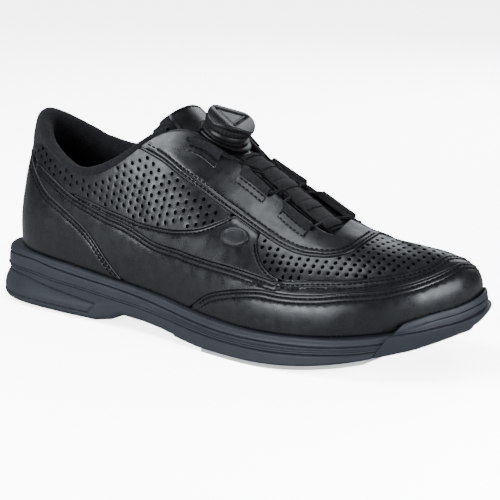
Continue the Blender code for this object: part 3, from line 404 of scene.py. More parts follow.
def panel(name, outline, chart, lift, paint, grooves=(), *, spans, radius=0.5, spacing=2.4, holes=False,
          depth=-1.9, sewn=None):
    """A leather panel as a closed solid, from its outline in station and v: rounded edges, stitch furrows
    beside the outline's sewn part, and punched holes that go right through."""
    border = np.array(outline, float)
    loop = chart(border[:, 0], border[:, 1])
    charts = [loop]
    stations = [border]
    owners = [np.full(len(loop), -1)]
    centres = np.zeros((0, 2))
    if holes:
        centres = lattice(loop, HOLE_PITCH_ALONG, HOLE_PITCH_UP, HOLE_MARGIN)
        cs, cv = invert(chart, centres, *spans)
        normal = last_normal(cs, cv)
        side = on_last(cs + 0.01, cv) - on_last(cs - 0.01, cv)
        side /= np.linalg.norm(side, axis=1)[:, None]
        up = np.cross(normal, side)
        for ring, size in enumerate((HOLE_RADIUS, HOLE_RADIUS + 0.35)):
            for k in range(HOLE_POINTS):
                a = 2 * math.pi * k / HOLE_POINTS
                ds, dv = solve_steps(cs, cv, (side * math.cos(a) + 1.15 * up * math.sin(a)) * size)
                stations.append(np.c_[cs + ds, cv + dv])
                charts.append(chart(cs + ds, cv + dv))
                owners.append(np.arange(len(cs)) if ring == 0 else np.full(len(cs), -1))
    free = []
    for distance in sorted({0.2, 0.5, 1.0} | {at + off for at in grooves for off in (-0.5, 0.0, 0.5)}):
        free.append(ring_inside(loop, distance))
    margin = (max(grooves) + 1.2) if grooves else 1.8
    free.append(lattice(loop, spacing * 0.87, spacing, margin if not holes else 1.5))
    free = np.concatenate(free)
    if len(centres):
        gap = np.concatenate([((part[:, None] - centres) ** 2).sum(-1).min(1)
                              for part in np.array_split(free, max(1, len(free) // 500))])
        free = free[gap > (HOLE_RADIUS + 0.8) ** 2]
    fs, fv = invert(chart, free, *spans)
    charts.append(free)
    stations.append(np.c_[fs, fv])
    owners.append(np.full(len(free), -1))
    flat, sv, owner = np.concatenate(charts), np.concatenate(stations), np.concatenate(owners)
    wide = len(loop)
    edges = [(k, (k + 1) % wide) for k in range(wide)]
    for h in range(len(centres)):
        edges += [(wide + k * len(centres) + h, wide + (k + 1) % HOLE_POINTS * len(centres) + h)
                  for k in range(HOLE_POINTS)]
    _, _, faces, origin, _, _ = geometry.delaunay_2d_cdt([Vector(p) for p in flat], edges, [], 0, 1e-5)
    first = np.array([ids[0] if ids else -1 for ids in origin])
    triangles = np.array([face for face in faces if len(face) == 3])
    triangles = first[triangles]
    triangles = triangles[(triangles >= 0).all(1)]
    middle = flat[triangles].mean(1)
    same_hole = (owner[triangles[:, 0]] >= 0) & (owner[triangles] == owner[triangles[:, :1]]).all(1)
    triangles = triangles[inside(middle, loop) & ~same_hole]
    used, triangles = np.unique(triangles, return_inverse=True)
    triangles = triangles.reshape(-1, 3)
    sv, flat, owner = sv[used], flat[used], owner[used]
    distance = edge_distance(flat, loop)
    points = on_last(sv[:, 0], sv[:, 1])
    chosen = sewn(border[:, 0], border[:, 1]) if sewn else np.ones(len(border), bool)
    seam_distance = edge_distance(flat, loop, chosen & np.roll(chosen, -1))
    top = lift - edge_profile(distance, radius, grooves, seam_distance) - 0.05 * (owner >= 0)
    top = top + wrinkles(points, 9, 0.16) * np.clip(distance / 3, 0, 1)
    upper = skin(sv[:, 0], sv[:, 1], top)
    lower = skin(sv[:, 0], sv[:, 1], np.full(len(sv), depth))
    count = len(sv)
    rim = open_edges(triangles)
    solid = [tuple(face) for face in triangles]
    solid += [tuple(face[::-1] + count) for face in triangles]
    solid += [(b, a, a + count, b + count) for a, b in rim]
    return finish_mesh(name, np.concatenate([upper, lower]), solid, paint)


def strip_outline(low, high, start, end):
    """The closed outline between two height functions."""
    spacing = 1.6
    bottom = even(seam(low, start, end), spacing)
    top = even(seam(high, end, start), spacing)
    parts = []
    for line, at, after in ((bottom, end, top), (top, start, bottom)):
        parts.append(line)
        if abs(float(high(at) - low(at))) > 0.03:
            parts.append(even([line[-1], after[0]], spacing)[1:-1])
    return np.concatenate(parts)


STITCH_SIDES = 6
STITCH_RINGS = 6


def stitch_faces(start):
    """The faces of one closed stitch whose first point has the number start."""
    faces = []
    for r in range(STITCH_RINGS - 1):
        for k in range(STITCH_SIDES):
            a = start + r * STITCH_SIDES + k
            b = start + r * STITCH_SIDES + (k + 1) % STITCH_SIDES
            faces.append((a, b, b + STITCH_SIDES, a + STITCH_SIDES))
    last = start + (STITCH_RINGS - 1) * STITCH_SIDES
    faces.append(tuple(start + k for k in range(STITCH_SIDES)))
    faces.append(tuple(last + k for k in reversed(range(STITCH_SIDES))))
    return faces


def stitches(name, rows, paint, lift):
    """Sewing thread along lines of station and v: each stitch is a short thread that dips at its ends."""
    blocks = []
    faces = []
    made = 0
    for line in rows:
        line = np.array(line, float)
        points = on_last(line[:, 0], line[:, 1])
        length = np.r_[0, np.cumsum(np.linalg.norm(np.diff(points, axis=0), axis=1))]
        count = int(length[-1] / THREAD_PITCH)
        if count < 1:
            continue
        at = (np.arange(count)[:, None] + np.linspace(0.10, 0.90, STITCH_RINGS)) * (length[-1] / count)
        s, v = np.interp(at, length, line[:, 0]), np.interp(at, length, line[:, 1])
        arch = np.sin(np.linspace(0, math.pi, STITCH_RINGS)) ** 0.6
        centre = skin(s, v, lift - 0.42 + 0.42 * arch * np.ones_like(s))
        tangent = np.gradient(centre, axis=1)
        tangent /= np.linalg.norm(tangent, axis=-1)[..., None]
        normal = last_normal(s, v)
        across = np.cross(tangent, normal)
        across /= np.linalg.norm(across, axis=-1)[..., None]
        out = np.cross(across, tangent)
        turns = [2 * math.pi * k / STITCH_SIDES for k in range(STITCH_SIDES)]
        around = [centre + (across * math.cos(a) * 1.15 + out * math.sin(a)) * THREAD_RADIUS for a in turns]
        blocks.append(np.stack(around, axis=2).reshape(-1, 3))
        for _ in range(count):
            faces += stitch_faces(made)
            made += STITCH_RINGS * STITCH_SIDES
    return finish_mesh(name, np.concatenate(blocks), faces, paint, 80)


def loft(name, rings, paint, smooth_angle, capped=True):
    """A skin through closed rings of equal point count."""
    rings = np.array(rings, float)
    count, wide = rings.shape[:2]
    faces = []
    for i in range(count - 1):
        for j in range(wide):
            a, b = i * wide + j, i * wide + (j + 1) % wide
            faces.append((a, b, b + wide, a + wide))
    if capped:
        faces.append(tuple(range(wide)))
        faces.append(tuple((count - 1) * wide + j for j in reversed(range(wide))))
    return finish_mesh(name, rings.reshape(-1, 3), faces, paint, smooth_angle)


def sheet(name, rows, thickness, paint, smooth_angle=50, side=1):
    """A closed solid from an open grid of rows, thickened along its normals."""
    rows = np.array(rows, float)
    normal = np.cross(np.gradient(rows, axis=0), np.gradient(rows, axis=1)) * side
    normal /= np.maximum(np.linalg.norm(normal, axis=-1), 1e-9)[..., None]
    below = rows - normal * thickness
    n, m = rows.shape[:2]
    count = n * m
    faces = []
    for i in range(n - 1):
        for j in range(m - 1):
            a = i * m + j
            faces.append((a, a + 1, a + m + 1, a + m))
            faces.append((count + a, count + a + m, count + a + m + 1, count + a + 1))
    border = [j for j in range(m)] + [i * m + m - 1 for i in range(1, n)]
    border += [(n - 1) * m + j for j in range(m - 2, -1, -1)] + [i * m for i in range(n - 2, 0, -1)]
    for a, b in zip(border, border[1:] + border[:1]):
        faces.append((b, a, a + count, b + count))
    return finish_mesh(name, np.concatenate([rows.reshape(-1, 3), below.reshape(-1, 3)]), faces, paint,
                       smooth_angle)


def tube(name, path, radius, paint, sides, twist):
    """A round cord along a smooth path of points, its corners turning along it like laid yarn."""
    path = np.array(path, float)
    tangent = np.gradient(path, axis=0)
    tangent /= np.linalg.norm(tangent, axis=1)[:, None]
    up = np.array([0.13, 0.07, 1.0])
    rings = []
    for k, (point, t) in enumerate(zip(path, tangent)):
        across = np.cross(t, up)
        across /= np.linalg.norm(across)
        up = np.cross(across, t)
        a = np.linspace(0, 2 * math.pi, sides, endpoint=False) + twist * k
        rings.append(point + radius * (np.cos(a)[:, None] * across + np.sin(a)[:, None] * up))
    return loft(name, rings, paint, smooth_angle=80)


def refine(points, steps=None, spacing=None):
    """A Catmull-Rom line through the points, in a number of steps or at about one spacing between them."""
    p = np.array(points, float)
    p = np.concatenate([[2 * p[0] - p[1]], p, [2 * p[-1] - p[-2]]])
    found = []
    for k in range(1, len(p) - 2):
        count = steps or max(int(np.linalg.norm(p[k + 1] - p[k]) / spacing), 2)
        t = np.linspace(0, 1, count, endpoint=False)[:, None]
        found.append(0.5 * (2 * p[k] + (p[k + 1] - p[k - 1]) * t
                            + (2 * p[k - 1] - 5 * p[k] + 4 * p[k + 1] - p[k + 2]) * t ** 2
                            + (3 * p[k] - p[k - 1] - 3 * p[k + 1] + p[k + 2]) * t ** 3))
    found.append(p[-2:-1])
    return np.concatenate(found)


# ---------------------------------------------------------------- materials
def new_material(name, colour, roughness, metallic=0.0):
    made = bpy.data.materials.new(name)
    made.use_nodes = True
    node = made.node_tree.nodes["Principled BSDF"]
    node.inputs["Base Color"].default_value = (*colour, 1)
    node.inputs["Roughness"].default_value = roughness
    node.inputs["Metallic"].default_value = metallic
    return made, made.node_tree, node


def link(tree, a, out, b, into):
    tree.links.new(a.outputs[out], b.inputs[into])


def texture(tree, kind, scale, **settings):
    """A texture node in the frame's metres, its scale in features a metre."""
    place = tree.nodes.get("Place") or tree.nodes.new("ShaderNodeTexCoord")
    place.name = "Place"
    node = tree.nodes.new(kind)
    node.inputs["Scale"].default_value = scale
    for key, value in settings.items():
        if key in node.inputs:
            node.inputs[key].default_value = value
        else:
            setattr(node, key, value)
    link(tree, place, "Object", node, "Vector")
    return node


def ramp(tree, source, out, low, high):
    """A value from low to high as a pattern goes from 0.3 to 0.7."""
    node = tree.nodes.new("ShaderNodeMapRange")
    node.inputs["From Min"].default_value = 0.3
    node.inputs["From Max"].default_value = 0.7
    node.inputs["To Min"].default_value = low
    node.inputs["To Max"].default_value = high
    link(tree, source, out, node, "Value")
    return node


def bump(tree, node, source, out, height, after=None):
    """Adds a height pattern, in metres, to the surface."""
    made = tree.nodes.new("ShaderNodeBump")
    made.inputs["Strength"].default_value = 1.0
    made.inputs["Distance"].default_value = height
    link(tree, source, out, made, "Height")
    if after:
        link(tree, after, "Normal", made, "Normal")
    link(tree, made, "Normal", node, "Normal")
    return made


def colour_mix(tree, node, source, out, low, high):
    """Shades between two colours as a pattern goes from 0.3 to 0.7."""
    mix = tree.nodes.new("ShaderNodeMix")
    mix.data_type = "RGBA"
    mix.inputs["A"].default_value = (*low, 1)
    mix.inputs["B"].default_value = (*high, 1)
    amount = ramp(tree, source, out, 0.0, 1.0)
    link(tree, amount, "Result", mix, "Factor")
    tree.links.new(mix.outputs["Result"], node.inputs["Base Color"])
    return mix


def leather(name, colour, roughness, grain=1.0):
    """Coated full-grain leather: fine pebbled grain, faint creases, slow changes of shade and shine."""
    made, tree, node = new_material(name, colour, roughness)
    pebbles = texture(tree, "ShaderNodeTexNoise", 1500, Detail=0, Roughness=0.5)
    creases = texture(tree, "ShaderNodeTexNoise", 230, Detail=1, Roughness=0.4)
    slow = texture(tree, "ShaderNodeTexNoise", 34, Detail=3, Roughness=0.5)
    first = bump(tree, node, pebbles, "Fac", 0.00002 * grain)
    bump(tree, node, creases, "Fac", 0.00008 * grain, first)
    lighter = [min(c * 1.5 + 0.002, 1) for c in colour]
    colour_mix(tree, node, slow, "Fac", colour, lighter)
    shine = ramp(tree, creases, "Fac", roughness - 0.06, roughness + 0.1)
    link(tree, shine, "Result", node, "Roughness")
    node.inputs["Specular IOR Level"].default_value = 0.55
    node.inputs["Coat Weight"].default_value = 0.3
    node.inputs["Coat Roughness"].default_value = 0.22
    return made


def rubber(name, colour, roughness):
    """Moulded rubber: a matt skin with fine speckle and slight scuffs."""
    made, tree, node = new_material(name, colour, roughness)
    speckle = texture(tree, "ShaderNodeTexNoise", 2400, Detail=2)
    scuffs = texture(tree, "ShaderNodeTexNoise", 60, Detail=5, Roughness=0.65)
    bump(tree, node, speckle, "Fac", 0.00003)
    colour_mix(tree, node, scuffs, "Fac", colour, [min(c * 1.25, 1) for c in colour])
    shine = ramp(tree, scuffs, "Fac", roughness - 0.06, roughness + 0.08)
    link(tree, shine, "Result", node, "Roughness")
    return made


def cloth(name, colour, threads, fuzz, sheen=0.12):
    """Woven or knitted cloth: crossed threads, a soft sheen and a little fuzz."""
    made, tree, node = new_material(name, colour, 0.9)
    weft = texture(tree, "ShaderNodeTexWave", threads, bands_direction="DIAGONAL", Distortion=1.2, Detail=1)
    loops = texture(tree, "ShaderNodeTexVoronoi", threads * 0.9, feature="F1", Randomness=0.55)
    slow = texture(tree, "ShaderNodeTexNoise", 45, Detail=4)
    first = bump(tree, node, weft, "Fac", fuzz * 0.25)
    bump(tree, node, loops, "Distance", fuzz, first)
    colour_mix(tree, node, slow, "Fac", colour, [min(c * 1.45 + 0.002, 1) for c in colour])
    node.inputs["Sheen Weight"].default_value = sheen
    node.inputs["Sheen Roughness"].default_value = 0.5
    node.inputs["Specular IOR Level"].default_value = 0.2
    return made


def webbing(name, colour):
    """Narrow woven tape with fine cords along the shoe."""
    made, tree, node = new_material(name, colour, 0.8)
    cords = texture(tree, "ShaderNodeTexWave", 330, bands_direction="Y", Distortion=0.4, Detail=1)
    weft = texture(tree, "ShaderNodeTexWave", 520, bands_direction="X", Distortion=0.8, Detail=1)
    slow = texture(tree, "ShaderNodeTexNoise", 400, Detail=3)
    first = bump(tree, node, cords, "Fac", 0.00016)
    bump(tree, node, weft, "Fac", 0.00009, first)
    colour_mix(tree, node, slow, "Fac", colour, [c * 1.8 + 0.004 for c in colour])
    node.inputs["Sheen Weight"].default_value = 0.1
    node.inputs["Specular IOR Level"].default_value = 0.3
    return made


def plastic(name, colour, roughness, metallic=0.0):
    """Moulded plastic or plain metal with a slight texture."""
    made, tree, node = new_material(name, colour, roughness, metallic)
    fine = texture(tree, "ShaderNodeTexNoise", 1800, Detail=2)
    slow = texture(tree, "ShaderNodeTexNoise", 120, Detail=4)
    bump(tree, node, fine, "Fac", 0.00002)
    shine = ramp(tree, slow, "Fac", roughness - 0.05, roughness + 0.08)
    link(tree, shine, "Result", node, "Roughness")
    colour_mix(tree, node, slow, "Fac", colour, [min(c * 1.15, 1) for c in colour])
    return made


def make_paints():
    return {
        "leather": leather("black leather", (0.0045, 0.0052, 0.0072), 0.31),
        "perforated": leather("perforated leather", (0.0055, 0.0062, 0.0084), 0.33, 0.7),
        "thread": cloth("sewing thread", (0.004, 0.004, 0.0045), 3000, 0.0001, 0.05),
        "rubber": rubber("sole rubber", (0.034, 0.038, 0.049), 0.5),
        "tread": rubber("heel tread", (0.022, 0.022, 0.026), 0.7),
        "slide": cloth("slide sole microfibre", (0.80, 0.80, 0.78), 1500, 0.0002),
        "lining": cloth("lining fabric", (0.016, 0.016, 0.0185), 1100, 0.0003),
        "footbed": cloth("sockliner fabric", (0.008, 0.008, 0.009), 900, 0.0003),
        "webbing": webbing("webbing", (0.012, 0.012, 0.0135)),
        "lace": cloth("lace", (0.008, 0.008, 0.009), 2600, 0.00015),
        "plastic": plastic("dial plastic", (0.008, 0.008, 0.009), 0.36),
        "cap": plastic("dial cap", (0.016, 0.0165, 0.018), 0.25),
        "grip": rubber("dial grip rubber", (0.003, 0.003, 0.0035), 0.6),
        "steel": plastic("spring steel", (0.55, 0.56, 0.58), 0.34, 1.0),
        "emblem": plastic("emblem", (0.030, 0.031, 0.034), 0.34),
        "board": cloth("fibre board", (0.25, 0.21, 0.16), 500, 0.0003),
        "foam": cloth("foam", (0.2, 0.2, 0.2), 700, 0.0003),
    }


# ---------------------------------------------------------------- upper
COUNTER = curve(COUNTER_EDGE)
SIDE = curve(SIDE_SEAM)
QUARTER = curve(QUARTER_LOW)
APRON = curve(APRON_EDGE)
VAMP = curve(VAMP_LOW)
MUDGUARD = curve(MUDGUARD_TOP)
COLLAR = curve(COLLAR_LINE)
THROAT = curve(THROAT_EDGE)
HAIR = 0.0016
TOP_LIFT = 0.3
MIDDLE_LIFT = 0.0
LOW_LIFT = -0.4


def zero(s):
    return 0.0 * np.asarray(s, float)


def counter_top(s):
    s = np.minimum(s, 20 - np.asarray(s, float))
    return np.where(s < 9.62, COUNTER(s), 0.67 + 0.285 * np.clip((s - 9.62) / 0.14, 0, 1) ** 0.7)


def ride_all(objects, body):
    for obj in objects:
        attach(obj, body)


def build_counter(paints):
    s_low = 6.70
    outline = strip_outline(zero, counter_top, s_low, 20 - s_low)
    counter = panel("heel_counter_leather", outline, side_chart, TOP_LIFT, paints["leather"], (1.7, 4.0),
                    spans=((6.5, 13.5), (0, 1)), sewn=lambda s, v: v > 0.02)
    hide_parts("heel_counter")
    rows = []
    for line in (seam(counter_top, 6.75, 9.3), seam(counter_top, 13.25, 10.7)):
        for distance in (1.7, 4.0):
            rows.append(offset_line(line, -distance if line[0, 0] < 10 else distance))
    return [counter, stitches("heel_counter_thread", rows, paints["thread"], TOP_LIFT)]


def build_mudguard(paints):
    outline = strip_outline(zero, lambda s: np.maximum(MUDGUARD(s), 0.012), -5.15, 5.15)
    mudguard = panel("mudguard_leather", outline, side_chart, TOP_LIFT, paints["leather"], (1.6, 3.9),
                     spans=((-5.3, 5.3), (0, 0.7)), sewn=lambda s, v: v > 0.02)
    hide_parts("toe_mudguard")
    line = seam(MUDGUARD, -5.0, 5.0, 400)
    rows = [offset_line(line, -distance) for distance in (1.6, 3.9)]
    return [mudguard, stitches("mudguard_thread", rows, paints["thread"], TOP_LIFT)]


def build_wrap(paints):
    def low(s):
        s = np.minimum(np.asarray(s, float) % 20, 20 - np.asarray(s, float) % 20)
        return np.where(s > 6.68, COUNTER(s) + HAIR, np.where(s < 5.15, MUDGUARD(s) + HAIR, 0.0))

    def high(s):
        s = np.minimum(np.asarray(s, float) % 20, 20 - np.asarray(s, float) % 20)
        return np.where(s < 4.1, np.where(s < 3.45, VAMP(s), SIDE(s)), SIDE(s)) - HAIR
    outline = strip_outline(low, high, -9.0, 9.0)
    wrap = panel("side_wrap_leather", outline, side_chart, MIDDLE_LIFT, paints["leather"], (1.6, 3.9),
                 spans=((-9.3, 9.3), (0, 0.85)), sewn=lambda s, v: np.abs(v - high(s)) < 0.004)
    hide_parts("side_wrap")
    line = seam(high, -8.9, 8.9, 600)
    rows = [offset_line(line, -distance) for distance in (1.6, 3.9)]
    return [wrap, stitches("side_wrap_thread", rows, paints["thread"], MIDDLE_LIFT)]


def mid_high(s):
    return np.where(s > 4.6, QUARTER(s), np.where(s > 4.09, APRON(s), VAMP(s))) - HAIR


def build_mids(paints):
    made = []
    for name, flip in (("outer", False), ("inner", True)):
        outline = strip_outline(lambda s: SIDE(s) + HAIR, mid_high, 3.5, 7.9)
        line = seam(lambda s: QUARTER(s) - HAIR, 4.65, 7.8)
        rear = seam(lambda s: VAMP(s) - HAIR, 3.56, 4.06)
        if flip:
            outline, line, rear = mirrored(outline), mirrored(line), mirrored(rear)
        mid = panel("mid_panel_leather_" + name, outline, side_chart, -0.1, paints["leather"], (1.5,),
                    spans=((11.9, 16.7) if flip else (3.3, 8.1), (0.2, 0.85)),
                    sewn=lambda s, v: np.abs(v - mid_high(np.minimum(s, 20 - s))) < 0.004)
        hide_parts("mid_panel_" + name)
        rows = [offset_line(line, -1.5), offset_line(rear, -1.5)]
        made += [mid, stitches("mid_panel_thread_" + name, rows, paints["thread"], -0.1)]
    return made


def build_quarters(paints):
    def low(s):
        return np.where(s < 7.9, QUARTER(s), np.maximum(SIDE(s), COUNTER(s))) + HAIR

    def high(s):
        return np.where(s < 6.72, np.minimum(APRON(s) - HAIR, COLLAR(s)), COLLAR(s))
    made = []
    for name, flip in (("outer", False), ("inner", True)):
        outline = strip_outline(low, high, 4.68, 9.35)
        if flip:
            outline = mirrored(outline)
        quarter = panel("quarter_leather_" + name, outline, side_chart, LOW_LIFT, paints["perforated"], (),
                        holes=True, radius=0.35,
                        spans=((10.4, 15.6) if flip else (4.4, 9.6), (0.2, 1)))
        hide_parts("quarter_" + name)
        made.append(quarter)
    return made


def build_vamp(paints):
    low = even(seam(lambda s: VAMP(s) + HAIR, -4.07, 4.07, 500), 1.6)
    rear = 4.07
    high = even(seam(lambda s: APRON(s) - HAIR, rear, 2.0, 200), 1.6)
    other = np.c_[-high[::-1, 0], high[::-1, 1]]
    outline = np.concatenate([low, even([low[-1], high[0]], 1.6)[1:-1], high, other[1:],
                              even([other[-1], low[0]], 1.6)[1:-1]])
    vamp = panel("vamp_leather", outline, crown_chart, LOW_LIFT, paints["perforated"], (), holes=True,
                 radius=0.35, spans=((-4.3, 4.3), (0.3, 1.0)))
    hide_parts("vamp")
    return [vamp]


def build_apron(paints):
    edge = even(seam(APRON, 2.0, 6.68, 300), 1.5)
    throat = even(seam(THROAT, 6.66, THROAT_END, 200), 1.5)
    half = np.concatenate([edge, even([edge[-1], throat[0]], 1.5)[1:-1], throat,
                           even([throat[-1], (THROAT_END, 1.0)], 1.5)[1:]])
    other = np.c_[-half[::-1, 0], half[::-1, 1]]
    outline = np.concatenate([half, other[1:-1]])
    apron = panel("apron_leather", outline, crown_chart, TOP_LIFT, paints["leather"], (1.7, 4.2),
                  spans=((-6.85, 6.85), (0.4, 1.0)), sewn=lambda s, v: np.abs(v - APRON(np.abs(s))) < 0.004)
    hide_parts("apron")
    outer = seam(APRON, 2.03, 6.6, 300)
    rows = []
    for distance in (1.7, 4.2):
        for side, line in ((1, outer), (-1, np.c_[-outer[:, 0], outer[:, 1]])):
            rows.append(offset_line(line, side * distance))
    return [apron, stitches("apron_thread", rows, paints["thread"], TOP_LIFT)]


# ---------------------------------------------------------------- sole
# Heights against x: upper seat, groove, thin ridge, and the rubber's lower edge.
SEAT = [(0, 30.4), (12, 30.6), (30, 30.2), (60, 28.0), (95, 25.2), (130, 22.2), (165, 18.2), (200, 16.7),
        (235, 18.0), (266, 20.4), (278, 22.8), (290, 26.5), (302, 30.2)]
GROOVE = [(0, 25.6), (10, 26.4), (20, 27.2), (36, 27.4), (56, 25.0), (73, 23.5), (96, 22.0), (127, 19.2),
          (140, 17.6), (165, 14.6), (190, 13.4), (215, 13.8), (251, 15.6), (277, 19.4), (302, 28)]
RIDGE = [(0, 19.4), (20, 20), (39, 19.8), (56, 18.2), (80, 16.9), (103, 15.4), (127, 14.0), (140, 13.0),
         (165, 10.6), (190, 9.6), (215, 9.8), (251, 12.4), (268, 14.6), (302, 25.5)]
SEAT_INSET = [(0, 8), (60, 7), (110, 6), (160, 5), (250, 5.5), (302, 6)]
BAND_INSET = [(0, 3.4), (40, 3.0), (70, 1.9), (88, 1.0), (110, 0.9), (160, 1.0), (302, 1.0)]
BOTTOM = [(0, 2.4), (20, 1.8), (64, 1.0), (88, 0.9), (100, 3.2), (108, 7.0), (125, 6.6), (139, 5.4),
          (155, 3.2), (168, 1.9), (302, 1.9)]
# Toe piece heights against the place round the outline (12 is the tip, more is the inner side).
TOE_LOW = [(9, 7.6), (9.85, 10.3), (10.6, 13.8), (11.17, 16.9), (11.65, 19.6), (12, 21.4), (12.5, 23.6),
           (13, 24), (13.4, 21), (13.8, 17), (14.4, 12.5), (15, 9)]
TOE_SLAB = [(9, 14), (9.8, 20), (10.4, 22.8), (10.8, 24.2), (11.13, 25.6), (11.5, 26.8), (11.7, 27.8),
            (12, 29.3), (12.5, 31), (13, 31.4), (13.4, 29), (13.8, 25.5), (14.2, 22.5), (15, 16)]
TOE_LIP = [(9, 20), (10.4, 27.4), (10.78, 30.3), (10.97, 31.7), (11.13, 32.6), (11.5, 34.1), (11.7, 35.2),
           (12, 36.7), (12.5, 38.4), (13, 38.2), (13.3, 36.3), (13.7, 33), (14.2, 28.5), (15, 22)]
TOE_SEAM_POINT = (270.5, 0, 14.3)
TOE_SEAM_SLANT = math.atan2(11.9, 17.1)
HEEL_PANEL_TOP = [(0, 16.6), (25, 16.8), (50, 13.6), (74, 11.2), (90, 9.9)]
HEEL_PANEL_LOW = [(0, 5.6), (25, 5.0), (90, 4.2)]


def ground(x):
    return 19.0 * np.clip((np.asarray(x, float) - 198) / 104, 0, None) ** 2


def rubber_bottom(x):
    return table(BOTTOM, x, False) + np.where(np.asarray(x) > 160, ground(x), 0)


def outline_stations():
    """Places round the outline, the same on both sides, and closer together where the heel panel ends."""
    half = np.concatenate([np.linspace(0, 3.2, 70, endpoint=False), np.linspace(3.2, 4.6, 60, endpoint=False),
                           np.linspace(4.6, 12, 150)])
    return np.concatenate([half, 24 - half[-2:0:-1]])


RING = outline_stations()


def outline_points(inset):
    """The outline moved inwards by an inset for each place round it."""
    point = along(EDGE, RING)
    step = along(EDGE, RING + 0.02) - along(EDGE, RING - 0.02)
    out = np.c_[step[:, 1], -step[:, 0]] / np.linalg.norm(step, axis=1)[:, None]
    if ((point - point.mean(0)) * out).sum() < 0:
        out = -out
    return point - out * np.asarray(inset, float)[:, None], out


RING_X = along(EDGE, RING)[:, 0]
TO_TOE = np.abs(RING - 12)


def sole_solid(name, rings, paint, top, bottom, carve=None):
    """A solid of rings round the outline, closed above and below by strips across the shoe."""
    grid = []
    for height, inset in rings:
        plan, out = outline_points(inset * np.ones(len(RING)))
        grid.append(np.c_[plan, height * np.ones(len(RING))])
    grid = np.array(grid)
    if carve:
        for ring in grid:
            ring[:, :2] -= out * carve(ring)[:, None]
    across = 8
    wide = len(RING)
    half = wide // 2
    points = list(grid.reshape(-1, 3))
    faces = []
    for i in range(len(grid) - 1):
        for j in range(wide):
            a, b = i * wide + j, i * wide + (j + 1) % wide
            faces.append((a, b, b + wide, a + wide))
    for ring, rule in ((0, top), (len(grid) - 1, bottom)):
        base = ring * wide
        previous = [base] * (across + 1)
        for i in range(1, half):
            one, two = points[base + i], points[base + wide - i]
            row = [base + i]
            for share in np.arange(1, across) / across:
                point = one * (1 - share) + two * share
                rise = min(share, 1 - share) * 6
                point[2] += (float(rule(point[0])) - point[2]) * min(rise, 1)
                points.append(point)
                row.append(len(points) - 1)
            row.append(base + wide - i)
            for k in range(across):
                face = [previous[k], previous[k + 1], row[k + 1], row[k]]
                faces.append([v for n, v in enumerate(face) if v != face[n - 1]])
            previous = row
        faces += [(previous[k], previous[k + 1], base + half) for k in range(across)]
    return finish_mesh(name, np.array(points), faces, paint, 38)


def keep_side(obj, offset, front):
    """Cuts a closed mesh at the slanted toe seam and closes the cut."""
    bm = bmesh.new()
    bm.from_mesh(obj.data)
    ahead = Vector((math.cos(TOE_SEAM_SLANT), 0, -math.sin(TOE_SEAM_SLANT)))
    place = Vector(metres(TOE_SEAM_POINT)) + Vector((offset * MM, 0, 0))
    cut = bmesh.ops.bisect_plane(bm, geom=bm.verts[:] + bm.edges[:] + bm.faces[:], plane_co=place,
                                 plane_no=ahead, clear_outer=not front, clear_inner=front)
    edges = [e for e in cut["geom_cut"] if isinstance(e, bmesh.types.BMEdge)]
    bmesh.ops.triangle_fill(bm, edges=edges, use_beauty=True)
    bmesh.ops.recalc_face_normals(bm, faces=bm.faces)
    bm.to_mesh(obj.data)
    bm.free()
    obj.data.set_sharp_from_angle(angle=math.radians(38))


def heel_panel(ring):
    """Depth of the groove round the panel on each side of the heel block, and of the panel itself."""
    x, z = ring[:, 0], ring[:, 2]
    above = table(HEEL_PANEL_TOP, x) - z
    below = z - table(HEEL_PANEL_LOW, x)
    ahead = (84 + (z - 4.7) * 0.8 - x) * 0.78
    within = np.minimum(np.minimum(above, below), ahead)
    return 0.9 * np.exp(-(within / 0.42) ** 2) + 0.3 * np.clip(within / 0.5, 0, 1)


